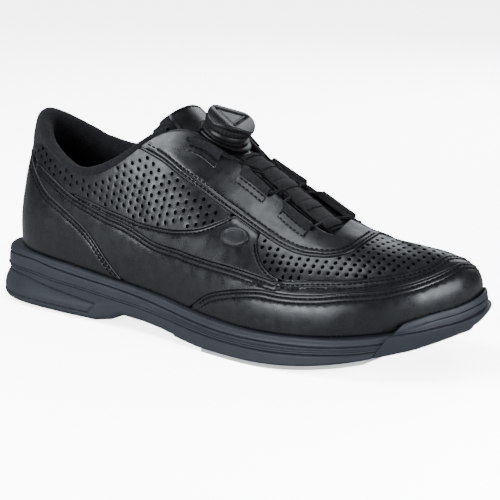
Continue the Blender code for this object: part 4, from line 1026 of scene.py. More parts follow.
def build_sole(paints):
    x = RING_X
    seat, groove, ridge = table(SEAT, x), table(GROOVE, x), table(RIDGE, x)
    bottom = rubber_bottom(x)
    top_in, band = table(SEAT_INSET, x), table(BAND_INSET, x)
    bead = seat - groove
    field = groove - ridge
    ribs = np.clip((x - 120) / 40, 0, 1)
    rings = [(seat + 0.5, top_in + 3), (seat + 0.4, top_in + 0.8), (seat + 0.1, top_in - 0.4),
             (seat, top_in - 1.5)]
    for share in (0.12, 0.3, 0.5, 0.7, 0.85, 0.95):
        turn = math.sin(share * math.pi / 2)
        rings.append((seat - bead * (1 - math.cos(share * math.pi / 2)) * 0.92, top_in - 1.5
                      - (top_in - 1.5 - band - 0.1) * turn))
    rings += [(groove + 0.25, band + 0.35), (groove, band + 1.25), (groove - 0.35, band + 1.3),
              (groove - 0.6, band + 0.35), (groove - 0.9, band - 0.05)]
    for share in (0.28, 0.35, 0.42, 0.5, 0.58, 0.65, 0.72):
        line = 0.45 * ribs * (share in (0.35, 0.65))
        rings.append((groove - 0.9 - (field - 1.8) * share, band - 0.25 + line))
    rings += [(ridge + 0.85, band - 0.3), (ridge + 0.6, band + 0.25), (ridge + 0.45, band - 0.55),
              (ridge + 0.1, band - 0.9), (ridge - 0.25, band - 0.6), (ridge - 0.35, band + 1.5)]
    midsole = sole_solid("midsole_rubber", rings, paints["rubber"], lambda x: table(SEAT, x) + 0.5,
                         lambda x: table(RIDGE, x) - 0.35)
    keep_side(midsole, 0.0, False)
    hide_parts("midsole")

    flare = table([(0, 0.0), (60, 0.1), (88, 0.6), (106, 0.8), (160, 0.5), (302, 0.5)], x)
    shelf = np.minimum(table(HEEL_PANEL_TOP, x) + np.clip((x - 86) / 4, 0, 10), ridge - 1)
    widest = np.minimum(7.0 + np.clip((x - 86) / 3, 0, 6), shelf - 1.0)
    drop = ridge - 0.5 - bottom
    corner = np.minimum(np.where(x > 150, 1.3, 3.0), drop * 0.4)
    rings = [(ridge - 0.45, band + 4), (ridge - 0.5, band + 0.7), (ridge - 0.9, band + 0.1)]
    for share in np.linspace(0.02, 1.0, 62):
        height = ridge - 0.9 - (drop - corner - 0.4) * share
        bulge = np.sin(np.clip((shelf - height) / (shelf - widest), 0, 1) * math.pi / 2)
        rings.append((height, band + (flare - band) * bulge))
    for share in (0.1, 0.3, 0.5, 0.7, 0.88, 1.0):
        turn = share * math.pi / 2
        rings.append((bottom + corner * (1 - math.sin(turn)), flare + corner * 0.75 * (1 - math.cos(turn))))
    outsole = sole_solid("outsole_rubber", rings, paints["rubber"], lambda x: table(RIDGE, x) - 0.45,
                         rubber_bottom, carve=heel_panel)
    keep_side(outsole, 0.0, False)
    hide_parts("outsole")

    lip, slab, low = table(TOE_LIP, RING), table(TOE_SLAB, RING), table(TOE_LOW, RING)
    fine = np.clip((1.15 - TO_TOE) / 0.3, 0, 1)
    tuck = table([(0, 5.2), (1.6, 2.6), (3, 2)], TO_TOE)
    seam_line = slab + 0.9
    rings = [(seat - 1.2, 8.0), (lip - 1.6, 4.2), (lip - 0.3, 3.6), (lip, 3.0), (lip - 0.3, 2.3),
             (lip - 1.0, 1.95), (lip - 2.2, 1.8), (lip - 2.9, 1.75), (lip - 3.1, 1.8 + 0.6 * fine),
             (lip - 3.4, 1.8 + 0.6 * fine), (lip - 3.6, 1.6), (lip - 4.3, 1.4)]
    rings = [(np.maximum(height, seam_line + 0.12 * (12 - n)), inset)
             for n, (height, inset) in enumerate(rings)]
    rings += [(seam_line, 1.5), (seam_line - 0.35, 2.3), (slab + 0.2, 2.2), (slab, 0.6),
              (slab - 0.2, -0.1), (slab - 0.7, -0.4)]
    for share in (0.12, 0.3, 0.5, 0.7, 0.85):
        rings.append((slab - 0.7 - (slab - 0.7 - low) * share, -0.4 + (tuck + 0.4) * share ** 1.3))
    rings += [(low + 0.5, tuck), (low, tuck + 1.0), (low - 0.15, tuck + 2.5)]
    toe = sole_solid("toe_bumper_rubber", rings, paints["rubber"], lambda x: table(SEAT, x) - 1.2,
                     lambda x: ground(x) + 0.3 + 0.14 * max(x - 278, 0))
    keep_side(toe, 0.25, True)
    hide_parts("toe_bumper")
    return [midsole, outsole, toe]


def build_tread(paints):
    """The heel's grip pad, with sipes across it, and the slide sole's napped sheet."""
    rows = []
    for q in np.linspace(0.35, 4.05, 150):
        one = along(EDGE, q)
        two = along(EDGE, 24 - q)
        middle, half = (one + two) / 2, (one - two) / 2
        half *= 1 - 6.5 / np.linalg.norm(half)
        t = np.linspace(-1, 1, 41)
        points = middle + half * t[:, None]
        wave = np.sin((points[:, 0] + 3.5 * np.abs(points[:, 1]) / 8) * 2 * math.pi / 5.0)
        depth = 0.8 * np.clip((wave - 0.55) * 4, 0, 1)
        rows.append(np.c_[points, 0.02 + depth])
    pad = sheet("heel_tread_pad", rows, 1.9, paints["tread"], side=1)
    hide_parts("heel_tread")
    rows = []
    for q in np.linspace(6.72, 9.84, 60):
        one, two = along(EDGE, q), along(EDGE, 24 - q)
        middle, half = (one + two) / 2, (one - two) / 2
        half *= 1 - 1.2 / np.linalg.norm(half)
        points = middle + half * np.linspace(-1, 1, 31)[:, None]
        points[:, 0] = np.minimum(points[:, 0], 265.3)
        rows.append(np.c_[points, ground(points[:, 0])])
    slide = sheet("slide_sole_sheet", rows, 1.85, paints["slide"], side=1)
    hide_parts("slide_sole")
    return [pad, slide]


# ---------------------------------------------------------------- collar and linings
def collar_edge(s):
    s = np.asarray(s, float)
    return np.where(s < 6.55, THROAT(s) + 0.006, COLLAR(s) + 0.006)


CREST_LIFT = [(6.2, -0.6), (6.8, -2.2), (7.7, -2.4), (8.4, -1.0), (9.4, 0.0), (11, 1.0), (12.5, 1.6),
              (14, 1.2)]


def crest_lift(s):
    """How far the padded topline stands above the last's ridge: lower on the outer side of the ankle."""
    stations, lifts = zip(*CREST_LIFT)
    return float(np.interp(s, stations, lifts))


def build_collar(paints):
    """The padded collar: cloth from the leather's edge over the top and down inside the heel."""
    ss = np.linspace(6.3, 10, 104)
    ss = np.concatenate([ss, 20 - ss[-2::-1]])
    path = [(0.0, -1.6), (0.02, -0.7), (0.25, -0.25), (0.55, -0.15), (0.8, -0.5), (0.95, -1.5), (1.0, -3.0),
            (0.985, -5.0), (0.96, -6.8), (0.92, -8.3), (0.87, -9.0), (0.81, -9.0), (0.74, -8.2), (0.66, -6.9),
            (0.58, -5.9), (0.50, -5.2), (0.40, -4.9), (0.30, -4.8), (0.18, -4.75), (0.05, -4.7)]
    rows = []
    for s in ss:
        near = min(s, 20 - s)
        edge = float(collar_edge(near))
        pad = float(np.clip((near - 6.1) / 1.6, 0.15, 1))
        row = []
        for n, (share, h) in enumerate(path):
            v = edge + (1 - edge) * share if n < 6 else share
            deep = h if h > -3.1 else -3.0 + (h + 3.0) * (0.35 + 0.65 * pad)
            if n >= 13:
                deep = max(deep, h)
            point = on_last(s, min(v, 1.0)) + last_normal(s, min(v, 0.985)) * deep
            crest = max(0.0, 1 - abs(n - 6.5) / 3.5)
            row.append(point + [0, 0, crest * crest_lift(s)])
        rows.append(refine(row, 4))
    rows = np.array(rows)
    flat = rows.reshape(-1, 3)
    normal = np.cross(np.gradient(rows, axis=0), np.gradient(rows, axis=1)).reshape(-1, 3)
    normal /= np.maximum(np.linalg.norm(normal, axis=1), 1e-9)[:, None]
    flat = flat + normal * (wrinkles(flat, 11, 0.5) + wrinkles(flat + 40, 4, 0.12))[:, None]
    collar = sheet("collar_cloth", flat.reshape(rows.shape), 0.8, paints["lining"], 70, side=1)
    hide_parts("collar_lining")
    return [collar]


def inner_skin(name, ss, low, high, lift, thickness, paint):
    """A smooth inner layer of the upper, from its station range and its heights."""
    count = 16
    rows = []
    for s in ss:
        near = min(s % 20, 20 - s % 20)
        v = np.linspace(low, high(near), count)
        rows.append(skin(np.full(count, s), v, np.full(count, lift)))
    return sheet(name, rows, thickness, paint, 70)


def build_linings(paints):
    made = []
    for name, ss, low, high, lift, thickness, paint, node in (
        ("vamp_lining_cloth", np.linspace(-6.2, 6.2, 120), 0.05,
         lambda s: 0.76 + 0.1 * max(s - 5.3, 0) if s > THROAT_END else 1.0,
         -3.9, 0.7, "lining", "vamp_lining"),
        ("toe_puff_sheet", np.linspace(-1.7, 1.7, 40), 0.08,
         lambda s: 0.58 - 0.08 * s, -2.65, 0.6, "board", "toe_puff"),
        ("counter_stiffener_sheet", np.linspace(7.8, 12.2, 70), 0.08,
         lambda s: 0.5 - 0.03 * (10 - s), -2.3, 0.9, "board", "counter_stiffener"),
    ):
        piece = inner_skin(name, ss, low, high, lift, thickness, paints[paint])
        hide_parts(node)
        made.append(piece)
    rings = []
    for s in np.linspace(7.0, 13, 90):
        near = min(s, 20 - s)
        share = float(np.clip((near - 6.6) / 0.9, 0.12, 1))
        ring = [on_last(s, v) + last_normal(s, v) * -2.5 for v in (0.93, 0.86, 0.79, 0.72, 0.66, 0.6)]
        for v, h in ((0.6, -3.8), (0.66, -4.8), (0.72, -5.6), (0.8, -6.6), (0.86, -7.0), (0.91, -6.6),
                     (0.94, -4.4)):
            ring.append(on_last(s, v) + last_normal(s, v) * min(-3.4 + (h + 3.4) * share, -3.2))
        rings.append(ring)
    foam = loft("collar_padding", rings, paints["foam"], smooth_angle=70)
    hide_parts("collar_foam")
    return made + [foam]


def build_footbed(paints):
    """The sockliner, its rim turned up round the heel."""
    made = []
    for name, node, lift, thickness, cup, paint in (
        ("sockliner", "footbed", 7.1, 3.4, 5.0, "footbed"),
        ("insole_board_sheet", "insole_board", 2.7, 1.9, 0.0, "board"),
    ):
        rows = []
        for s in np.linspace(9.72, 0.32, 110):
            one, two = on_last(s, 0.0), on_last(20 - s, 0.0)
            middle, half = (one + two) / 2, (two - one) / 2
            reach = max(1 - 5.6 / np.linalg.norm(half), 0.12)
            t = np.linspace(-1, 1, 25)
            points = middle + half * t[:, None] * reach
            heel = float(np.clip((105 - middle[0]) / 70, 0, 1))
            rim = np.abs(t) ** 4 * cup * heel + cup * heel * np.clip((s - 9.2) / 0.52, 0, 1) ** 2
            points[:, 0] += 5.6 * float(np.clip((s - 8.7) / 0.9, 0, 1))
            points[:, 2] = middle[2] + lift + rim
            points[:, :2] += half[:2] * (t * np.abs(t) ** 3)[:, None] * 0.03 * heel
            rows.append(points)
        piece = sheet(name, rows, thickness, paints[paint], 60, side=1)
        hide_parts(node)
        made.append(piece)
    return made


# ---------------------------------------------------------------- tongue
# Centre line x z, half width, crown drop at the edge, padding thickness.
TONGUE = [(226, 61.3, 6.8, 0.8, 2.0), (213, 68.2, 8.0, 1.2, 2.3), (199, 76.6, 8.5, 1.7, 2.8),
          (184, 86.0, 8.5, 2.0, 3.0), (169, 93.7, 8.8, 2.3, 3.2), (157, 99.3, 11.0, 2.3, 3.6),
          (147, 104.0, 14.0, 3.4, 4.4), (140, 107.6, 17.0, 5.6, 5.2), (135, 110.6, 18.6, 7.0, 6.2),
          (131, 113.9, 18.8, 7.6, 6.6), (127.5, 116.8, 17.6, 7.4, 6.0), (125, 118.4, 15.0, 6.0, 4.4)]
COVER_END = 10.3


def tongue_line(k):
    """Centre, unit normal, half width, crown and padding at a place along the tongue."""
    rows = np.array(TONGUE, float)
    at = np.arange(len(rows))
    x, z, half, crown, pad = (table(np.c_[at, rows[:, n]], k) for n in range(5))
    dx = table(np.c_[at, rows[:, 0]], k + 0.05) - table(np.c_[at, rows[:, 0]], k - 0.05)
    dz = table(np.c_[at, rows[:, 1]], k + 0.05) - table(np.c_[at, rows[:, 1]], k - 0.05)
    length = math.hypot(float(dx), float(dz))
    normal = np.array([float(dz), -float(dx)]) / length
    return np.array([float(x), float(z)]), normal, float(half), float(crown), float(pad)


def tongue_row(k, lift, reach, count):
    """Points across the tongue: lift and reach above and along its crowned face."""
    middle, normal, half, crown, _ = tongue_line(k)
    y = np.linspace(-1, 1, count) * reach
    place = middle + normal * (np.asarray(lift) - crown * (y / half) ** 2)[:, None]
    return np.c_[place[:, 0], y, place[:, 1]]


def swell(obj, pressure, cap):
    """A short cloth simulation that fills a padded piece, each point moving at most cap millimetres."""
    start = np.array([v.co for v in obj.data.vertices], float)
    bpy.context.view_layer.objects.active = obj
    cloth_made = obj.modifiers.new("Padding", "CLOTH")
    settings = cloth_made.settings
    settings.use_pressure = True
    settings.uniform_pressure_force = pressure
    settings.effector_weights.gravity = 0.0
    settings.tension_stiffness = 12
    settings.bending_stiffness = 0.4
    cloth_made.point_cache.frame_start = 1
    cloth_made.point_cache.frame_end = 20
    for number in range(1, 21):
        bpy.context.scene.frame_set(number)
    graph = bpy.context.evaluated_depsgraph_get()
    moved = np.array([v.co for v in obj.evaluated_get(graph).data.vertices], float)
    obj.modifiers.remove(cloth_made)
    bpy.context.scene.frame_set(1)
    shift = moved - start
    length = np.maximum(np.linalg.norm(shift, axis=1), 1e-12)[:, None]
    shift *= np.minimum(1, cap * MM / length)
    obj.data.vertices.foreach_set("co", (start + shift).astype(np.float32).ravel())
    obj.data.update()


def cover_half(k):
    """Half the width of the tongue's leather: it leaves the padding's rim bare at the top."""
    return tongue_line(k)[2] * 0.93 - 2.6 * float(np.clip((k - 6.8) / 1.6, 0, 1))


def build_tongue(paints):
    rings = []
    for k in np.linspace(0, 11, 64):
        _, _, half, crown, pad = tongue_line(k)
        turn = np.linspace(0, math.pi, 13)[1:-1]
        body = pad * (0.86 if k < 10 else 0.86 * (1 - 0.5 * (k - 10)))
        top = tongue_row(k, np.full(17, -1.7), half * 0.93, 17)
        low = tongue_row(k, np.full(17, -1.7 - body), half * 0.88, 17)
        edge = half * 0.93
        swollen = float(np.clip((k - 6.8) / 1.6, 0, 1))
        right, left = [], []
        for a in turn:
            lift = -1.7 - body * (1 - math.cos(a)) / 2
            reach = edge + (min(body * 0.42, 2.6) + 1.9 * swollen) * math.sin(a)
            row = tongue_row(k, np.full(3, lift), reach, 3)
            left.append(row[0])
            right.append(row[2])
        rings.append(list(top) + right + list(low[::-1]) + left[::-1])
    pad = loft("tongue_padding", rings, paints["lining"], smooth_angle=80)
    swell(pad, 2.5, 1.0)
    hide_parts("tongue_pad")
    rows = []
    for k in np.linspace(0, COVER_END, 70):
        edge = cover_half(k)
        y = np.linspace(-1, 1, 29)
        near = np.minimum(edge * (1 - np.abs(y)), (COVER_END - k) * 4)
        lift = -0.1 - edge_profile(np.maximum(near, 0), 0.7, (1.8,))
        rows.append(tongue_row(k, lift, edge, 29))
    rows = np.array(rows)
    rows[..., 2] += wrinkles(rows.reshape(-1, 3), 8, 0.3).reshape(rows.shape[:2])
    cover = sheet("tongue_leather", rows, 1.2, paints["leather"], 60, side=-1)
    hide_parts("tongue_cover")
    last_row = COVER_END - 0.5
    path = np.array([tongue_row(k, np.full(2, -0.15), cover_half(k) - 1.8, 2)
                     for k in np.linspace(5.5, last_row, 40)])
    crown = tongue_row(last_row, np.full(12, -0.15), cover_half(last_row) - 1.8, 12)
    thread = thread_along("tongue_thread", [path[:, 0], path[:, 1], crown], paints["thread"], up=(0.4, 0, 1))
    return [pad, cover, thread]


def build_gussets(paints):
    """Folded cloth between the throat and the tongue's sides."""
    made = []
    tongue_x = np.array(TONGUE, float)[:, 0]
    for name, side in (("outer", -1), ("inner", 1)):
        rows = []
        for s in np.linspace(3.3, 5.3, 60):
            station = s if side < 0 else 20 - s
            row = [on_last(station, v) + last_normal(station, v) * h
                   for v, h in ((0.62, -2.9), (0.67, -2.8), (0.72, -2.8), (0.752, -3.2))]
            k = float(np.interp(-row[-1][0], -tongue_x, np.arange(len(tongue_x))))
            beside = tongue_row(k, np.full(2, -3.2), tongue_line(k)[2] * 0.9, 2)[0 if side < 0 else 1]
            fold = (row[-1] * 0.55 + beside * 0.45) - [0, 0, 2.2]
            rows.append(refine(row + [fold, beside], 4))
        rows = np.array(rows)
        rows[..., 2] += wrinkles(rows.reshape(-1, 3), 7, 0.35).reshape(rows.shape[:2])
        gusset = sheet("gusset_cloth_" + name, rows, 0.5, paints["lining"], 70)
        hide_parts("gusset_" + name)
        bend(gusset, side, 15.0, 10.0)
        made.append(gusset)
    return made


def bend(obj, side, shoe_reach, tongue_reach):
    """Bakes the piece's placement into its mesh; side, shoe_reach and tongue_reach are not used."""
    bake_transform(obj)


def thread_along(name, lines, paint, up, pitch=THREAD_PITCH):
    """Stitches along lines of points in space, standing up from the surface below them."""
    vertices, faces = [], []
    up = np.array(up, float) / np.linalg.norm(up)
    for line in lines:
        line = np.array(line, float)
        length = np.r_[0, np.cumsum(np.linalg.norm(np.diff(line, axis=0), axis=1))]
        for n in range(int(length[-1] / pitch)):
            at = (n + np.linspace(0.12, 0.88, STITCH_RINGS)) * pitch
            centre = np.stack([np.interp(at, length, line[:, k]) for k in range(3)], 1)
            arch = np.sin(np.linspace(0, math.pi, STITCH_RINGS)) ** 0.6
            centre = centre + up * ((arch - 1) * 0.4 + 0.1)[:, None]
            tangent = np.gradient(centre, axis=0)
            tangent /= np.linalg.norm(tangent, axis=1)[:, None]
            across = np.cross(tangent, up)
            across /= np.linalg.norm(across, axis=1)[:, None]
            out = np.cross(across, tangent)
            faces += stitch_faces(len(vertices))
            for r in range(STITCH_RINGS):
                for k in range(STITCH_SIDES):
                    a = 2 * math.pi * k / STITCH_SIDES
                    way = across[r] * math.cos(a) + out[r] * math.sin(a)
                    vertices.append(centre[r] + way * THREAD_RADIUS)
    return finish_mesh(name, np.array(vertices), faces, paint, 80)


# ---------------------------------------------------------------- closure
STRAP_JOINTS = (0.62, 1.55, 2.55, 3.5)


def build_strap(paints):
    """The ribbed strap on the tongue: fine cords along it, and a raised step at each sewn-in lace guide."""
    rows = []
    for k in np.linspace(0.02, 4.15, 260):
        y = np.linspace(-1, 1, 61)
        step = sum(0.45 * math.exp(-((k - at) / 0.16) ** 2) for at in STRAP_JOINTS)
        furrow = sum(0.35 * math.exp(-((k - at - 0.2) / 0.035) ** 2) for at in STRAP_JOINTS)
        cords = 0.09 * np.cos(y * STRAP_HALF * 2 * math.pi / 0.95)
        weft = 0.04 * math.cos(k * 12.5 * 2 * math.pi / 0.8)
        edge = 0.35 * np.clip((np.abs(y) - 0.93) / 0.07, 0, 1) ** 2
        lift = 1.25 + step - furrow + cords + weft - edge
        rows.append(tongue_row(k, lift, STRAP_HALF * (1 + 0.03 * step), 61))
    strap = sheet("centre_strap_webbing", rows, 0.9, paints["webbing"], 80, side=-1)
    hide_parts("centre_strap")
    inset = STRAP_HALF * 0.86
    lines = [tongue_row(k, np.full(9, 1.5), inset, 9) for k in (0.16, 0.34, 1.35, 2.35, 3.3, 3.95)]
    along_edges = [tongue_row(k, np.full(2, 1.35), inset, 2) for k in np.linspace(0.1, 0.6, 8)]
    sides = [np.array([row[n] for row in along_edges]) for n in (0, 1)]
    return [strap, thread_along("strap_thread", lines + sides, paints["thread"], (0.5, 0, 1), 1.9)]


# Each loop's stations, its sewn box's lower and upper heights, and the throat edge's heights.
LOOPS = [("1", 5.28, 5.90, (0.690, 0.775), (0.737, 0.823), (0.776, 0.840)),
         ("2", 4.27, 4.85, (0.690, 0.680), (0.740, 0.728), (0.764, 0.768)),
         ("3", 3.30, 3.93, (0.665, 0.690), (0.735, 0.752), (0.763, 0.771))]
EYE_REACH = 0.9
EYE_HEIGHT = 1.5
EYE_RADIUS = 0.75
TAPE = 0.7


def build_loops(paints):
    """Webbing loops: each leaves a slot in the apron, folds over the lace at the throat, and goes back."""
    made = []
    for row, s_low, s_high, box_low, box_high, edge in LOOPS:
        for side, flip in (("outer", False), ("inner", True)):
            rings = []
            for share in np.linspace(0, 1, 73):
                s = s_low + (s_high - s_low) * share
                station = 20 - s if flip else s
                v_slot = box_high[0] + (box_high[1] - box_high[0]) * share + 0.006
                v_edge = edge[0] + (edge[1] - edge[0]) * share
                base = on_last(station, v_edge)
                up = on_last(station, v_edge + 0.01) - on_last(station, v_edge - 0.01)
                up /= np.linalg.norm(up)
                normal = last_normal(station, v_edge)
                ridge = 0.05 * math.cos(share * 2 * math.pi * 17)
                ring = []
                for t, rise in ((0.0, -0.6), (0.06, 0.5), (0.2, 1.1), (0.4, 1.35), (0.6, 1.7), (0.8, 2.3)):
                    v = v_slot + (v_edge - v_slot) * t
                    ring.append(on_last(station, v) + last_normal(station, v) * (rise + ridge * t))
                height = EYE_HEIGHT - (0.5 if flip else 0.0)
                outer = EYE_RADIUS + TAPE + ridge
                for a in (98, 72, 45, 20, -5, -30, -55, -80, -110, -140):
                    c = math.radians(a)
                    ring.append(base + up * (EYE_REACH + outer * math.cos(c))
                                + normal * (height + outer * math.sin(c)))
                inner = EYE_RADIUS
                for a in (-140, -110, -70, -30, 10, 50, 90):
                    c = math.radians(a)
                    ring.append(base + up * (EYE_REACH + inner * math.cos(c))
                                + normal * (height + inner * math.sin(c)))
                for t, rise in ((0.75, 1.45), (0.5, 0.85), (0.25, 0.4), (0.1, -0.2), (0.03, -0.6)):
                    v = v_slot + (v_edge - v_slot) * t
                    ring.append(on_last(station, v) + last_normal(station, v) * rise)
                rings.append(ring)
            loop = loft("loop_%s_%s_webbing" % (side, row), rings, paints["webbing"], smooth_angle=60)
            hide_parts("lace_loop_%s_%s" % (side, row))
            corners = [(s_low, box_low[0]), (s_high, box_low[1]),
                       (s_high, box_high[1]), (s_low, box_high[0])]
            if flip:
                corners = [(-s, v) for s, v in corners][::-1]
            outline = np.concatenate([even([corners[k], corners[(k + 1) % 4]], 1.2)[:-1] for k in range(4)])
            reach = (-s_high - 0.2, -s_low + 0.2) if flip else (s_low - 0.2, s_high + 0.2)
            patch = panel("loop_%s_%s_patch" % (side, row), outline, side_chart, TOP_LIFT + 0.3,
                          paints["leather"], spans=(reach, (0.55, 0.95)), radius=0.35, spacing=1.4,
                          depth=-0.2)
            lines = []
            for k in range(4):
                line = even([corners[k], corners[(k + 1) % 4]], 1.0)
                sign = -1 if flip else 1
                moved = offset_line(line, 0.75 * sign)
                lines.append(moved[1:-1])
            thread = stitches("loop_%s_%s_thread" % (side, row), lines, paints["thread"],
                              TOP_LIFT + 0.42)
            made += [loop, patch, thread]
    return made


def eye_point(station, v):
    """The middle of a loop's fold, where the lace runs."""
    base = on_last(station, v)
    up = on_last(station, v + 0.01) - on_last(station, v - 0.01)
    up /= np.linalg.norm(up)
    return base + up * EYE_REACH + last_normal(station, v) * (EYE_HEIGHT - (0.5 if station > 10 else 0.0))


LACE_TONGUE = 9.6
# Where the lace crosses the strap after each pair of loops: place along the tongue, lift and reach.
LACE_ON_STRAP = {"1": ((3.52, 2.0, 7.9), (3.42, 1.3, 6.4), (3.30, 1.3, 6.4), (3.18, 2.0, 7.9)),
                 "2": ((2.4, 2.0, 7.9), (2.3, 1.3, 6.4), (2.18, 1.3, 6.4), (2.06, 2.0, 7.9)),
                 "3": ((0.68, 1.8, 7.6), (0.62, 0.9, 4.0), (0.62, 0.9, 0.2))}


def dial_point(forward, across, up):
    c, d = math.cos(DIAL_TILT), math.sin(DIAL_TILT)
    x, y, z = DIAL_CENTRE
    return np.array([x + forward * c + up * d, y + across, z - forward * d + up * c])


def build_lace(paints):
    """The lace in an outer and an inner half: through each loop, and over the strap between loops."""
    made = []
    for name, flip in (("outer", False), ("inner", True)):
        side = 1 if flip else -1
        path = [dial_point(-4.0, side * 8.6, 2.2), dial_point(-8.2, side * 9.4, 1.8)]
        for row, s_low, s_high, _, _, edge in LOOPS:
            for share in (1.04, 0.75, 0.5, 0.25, -0.04):
                s = s_low + (s_high - s_low) * share
                path.append(eye_point(20 - s if flip else s, edge[0] + (edge[1] - edge[0]) * share))
            path += [tongue_row(k, np.full(2, lift), reach, 2)[1 if flip else 0]
                     for k, lift, reach in LACE_ON_STRAP[row]]
        cord = tube("lace_" + name, refine(path, spacing=0.7), LACE_RADIUS, paints["lace"], 8, 0.35)
        bend(cord, side, 12.2 if flip else 14.5, LACE_TONGUE)
        made.append(cord)
    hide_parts("lace")
    return made


def dial_mesh(name, heights, radii, paint, capped, smooth_angle):
    """A ring or a disc about the dial's axis: rows of heights and radii round it, in the dial's own frame."""
    heights, radii = np.array(heights, float), np.array(radii, float)
    angle = np.linspace(0, 2 * math.pi, radii.shape[1], endpoint=False)
    c, d = math.cos(DIAL_TILT), math.sin(DIAL_TILT)
    forward, across = radii * np.cos(angle), radii * np.sin(angle)
    x = DIAL_CENTRE[0] + forward * c + heights * d
    z = DIAL_CENTRE[2] - forward * d + heights * c
    rings = np.stack([x, DIAL_CENTRE[1] + across, z], -1)
    return loft(name, rings, paint, smooth_angle, capped)


def dial_ring(name, profile, paint):
    """A turned piece on the dial's axis from a profile of radius and height, top centre to bottom."""
    profile = np.array(profile, float)
    around = np.ones(96)
    return dial_mesh(name, profile[:, 1:2] * around, profile[:, :1] * around, paint, True, 40)


def build_dial(paints):
    count = 144
    angle = np.linspace(0, 2 * math.pi, count, endpoint=False)
    turn = math.radians(76)
    rim = 13.25 - 0.35 * np.cos(3 * (angle - turn))
    heights, radii = [], []
    for share in np.linspace(0.002, 1, 46):
        r = share * (rim - 0.65)
        wedge = np.max([r * np.cos(angle - turn - math.radians(a)) for a in (60, 180, 300)], axis=0) - 4.9
        lobe = 12.25 - 0.055 * np.clip(wedge - 2.2, 0, 9) ** 2 - 0.12 * np.clip(2.2 - wedge, 0, 3) ** 2
        plate = 12.15 + 0.2 * np.exp(-((wedge + 1.0) / 0.3) ** 2)
        blend = np.clip(wedge / 0.5 + 0.5, 0, 1)
        out = r * np.cos(angle - turn - math.radians(60)) - 4.9
        beside = r * np.sin(angle - turn - math.radians(60))
        slot = np.exp(-((out + 0.9) / 0.42) ** 4) * np.clip((6.2 - np.abs(beside)) / 0.5, 0, 1)
        heights.append(plate * (1 - blend) + lobe * blend - 0.55 * np.exp(-(wedge / 0.3) ** 2) - 0.9 * slot)
        radii.append(r)
    edge = heights[-1]
    for grow, sink in ((0.35, 0.12), (0.58, 0.42), (0.65, 0.85), (0.62, 1.5), (0.45, 2.1), (0.2, 2.5),
                       (-0.4, 2.7)):
        heights.append(edge - sink)
        radii.append(rim - 0.65 + grow)
    heights += [edge * 0 + 9.4, edge * 0 + 9.4]
    radii += [rim - 2.4, rim * 0 + 0.02]
    cap = dial_mesh("knob_cap_moulding", heights, radii, paints["cap"], True, 35)
    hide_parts("knob_cap")
    teeth = 0.18 * np.cos(angle * 36)
    heights, radii = [], []
    for radius, height, toothed in ((10.2, 9.3, 0), (12.2, 9.35, 0), (12.75, 9.0, 1), (12.9, 8.2, 1),
                                    (12.85, 7.0, 1), (12.7, 6.1, 1), (12.3, 5.75, 0), (11.9, 5.7, 0),
                                    (11.9, 6.2, 0), (10.2, 6.3, 0), (10.2, 9.3, 0)):
        heights.append(np.full(count, height))
        radii.append(radius + teeth * toothed)
    grip = dial_mesh("knob_grip_skirt", heights, radii, paints["grip"], False, 45)
    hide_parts("knob_grip", "knob_core")
    housing = dial_ring("dial_housing_moulding",
                        [(2.6, 2.4), (10.4, 2.4), (10.4, 5.25), (10.9, 5.4), (11.5, 5.3), (11.75, 5.0),
                         (11.75, 3.2), (12.6, 2.9), (13.0, 2.6), (13.0, 1.9), (12.6, 1.55), (2.6, 1.5)],
                        paints["plastic"])
    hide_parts("dial_housing")
    heights, radii = [], []
    reach = 1 / np.sqrt((np.cos(angle) / 15.8) ** 2 + (np.sin(angle) / 13.3) ** 2)
    for share, height in ((0.02, 1.4), (0.7, 1.4), (0.86, 1.35), (0.93, 1.15), (0.97, 0.9), (1.0, 0.5),
                          (0.99, 0.1), (0.9, 0.0), (0.02, 0.0)):
        heights.append(np.full(count, height))
        radii.append(reach * share)
    flange = dial_mesh("dial_flange_moulding", heights, radii, paints["plastic"], True, 50)
    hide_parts("dial_flange")
    return [housing, flange], [cap, grip]


def build_emblem(paints):
    """A plain oval ring moulded onto the outer side."""
    s, v = 4.47, 0.44
    centre, normal = on_last(s, v), last_normal(s, v)
    length = np.cross(normal, (0, 0, 1))
    length /= np.linalg.norm(length)
    rise = np.cross(normal, length)
    rise *= 1 if rise[2] > 0 else -1
    rings = []
    for share, height in ((0.02, 0.75), (0.45, 0.75), (0.60, 0.7), (0.64, 0.85), (0.70, 1.25), (0.80, 1.4),
                          (0.90, 1.25), (0.97, 0.85), (1.0, 0.3), (1.0, -0.4), (0.02, -0.4)):
        ring = []
        for a in np.linspace(0, 2 * math.pi, 72, endpoint=False):
            x, y = 8.7 * share * math.cos(a), 5.2 * share * math.sin(a)
            ds, dv = solve_steps(s, v, length * x + rise * y)
            flat = on_last(s + ds, v + dv) - centre
            ring.append(centre + length * x + rise * y + normal * (float(flat @ normal) + height))
        rings.append(ring)
    emblem = loft("side_emblem_ring", rings, paints["emblem"], smooth_angle=40)
    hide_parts("side_emblem")
    return [emblem]


# ---------------------------------------------------------------- stage
def brighter_for_camera(tree, dim, bright):
    """A colour that is bright where the camera sees it, and dimmer for the light it sends to the shoe."""
    path = tree.nodes.new("ShaderNodeLightPath")
    mix = tree.nodes.new("ShaderNodeMix")
    mix.data_type = "RGBA"
    mix.inputs["A"].default_value = (dim, dim, dim, 1)
    mix.inputs["B"].default_value = (bright, bright, bright, 1)
    link(tree, path, "Is Camera Ray", mix, "Factor")
    return mix.outputs["Result"]


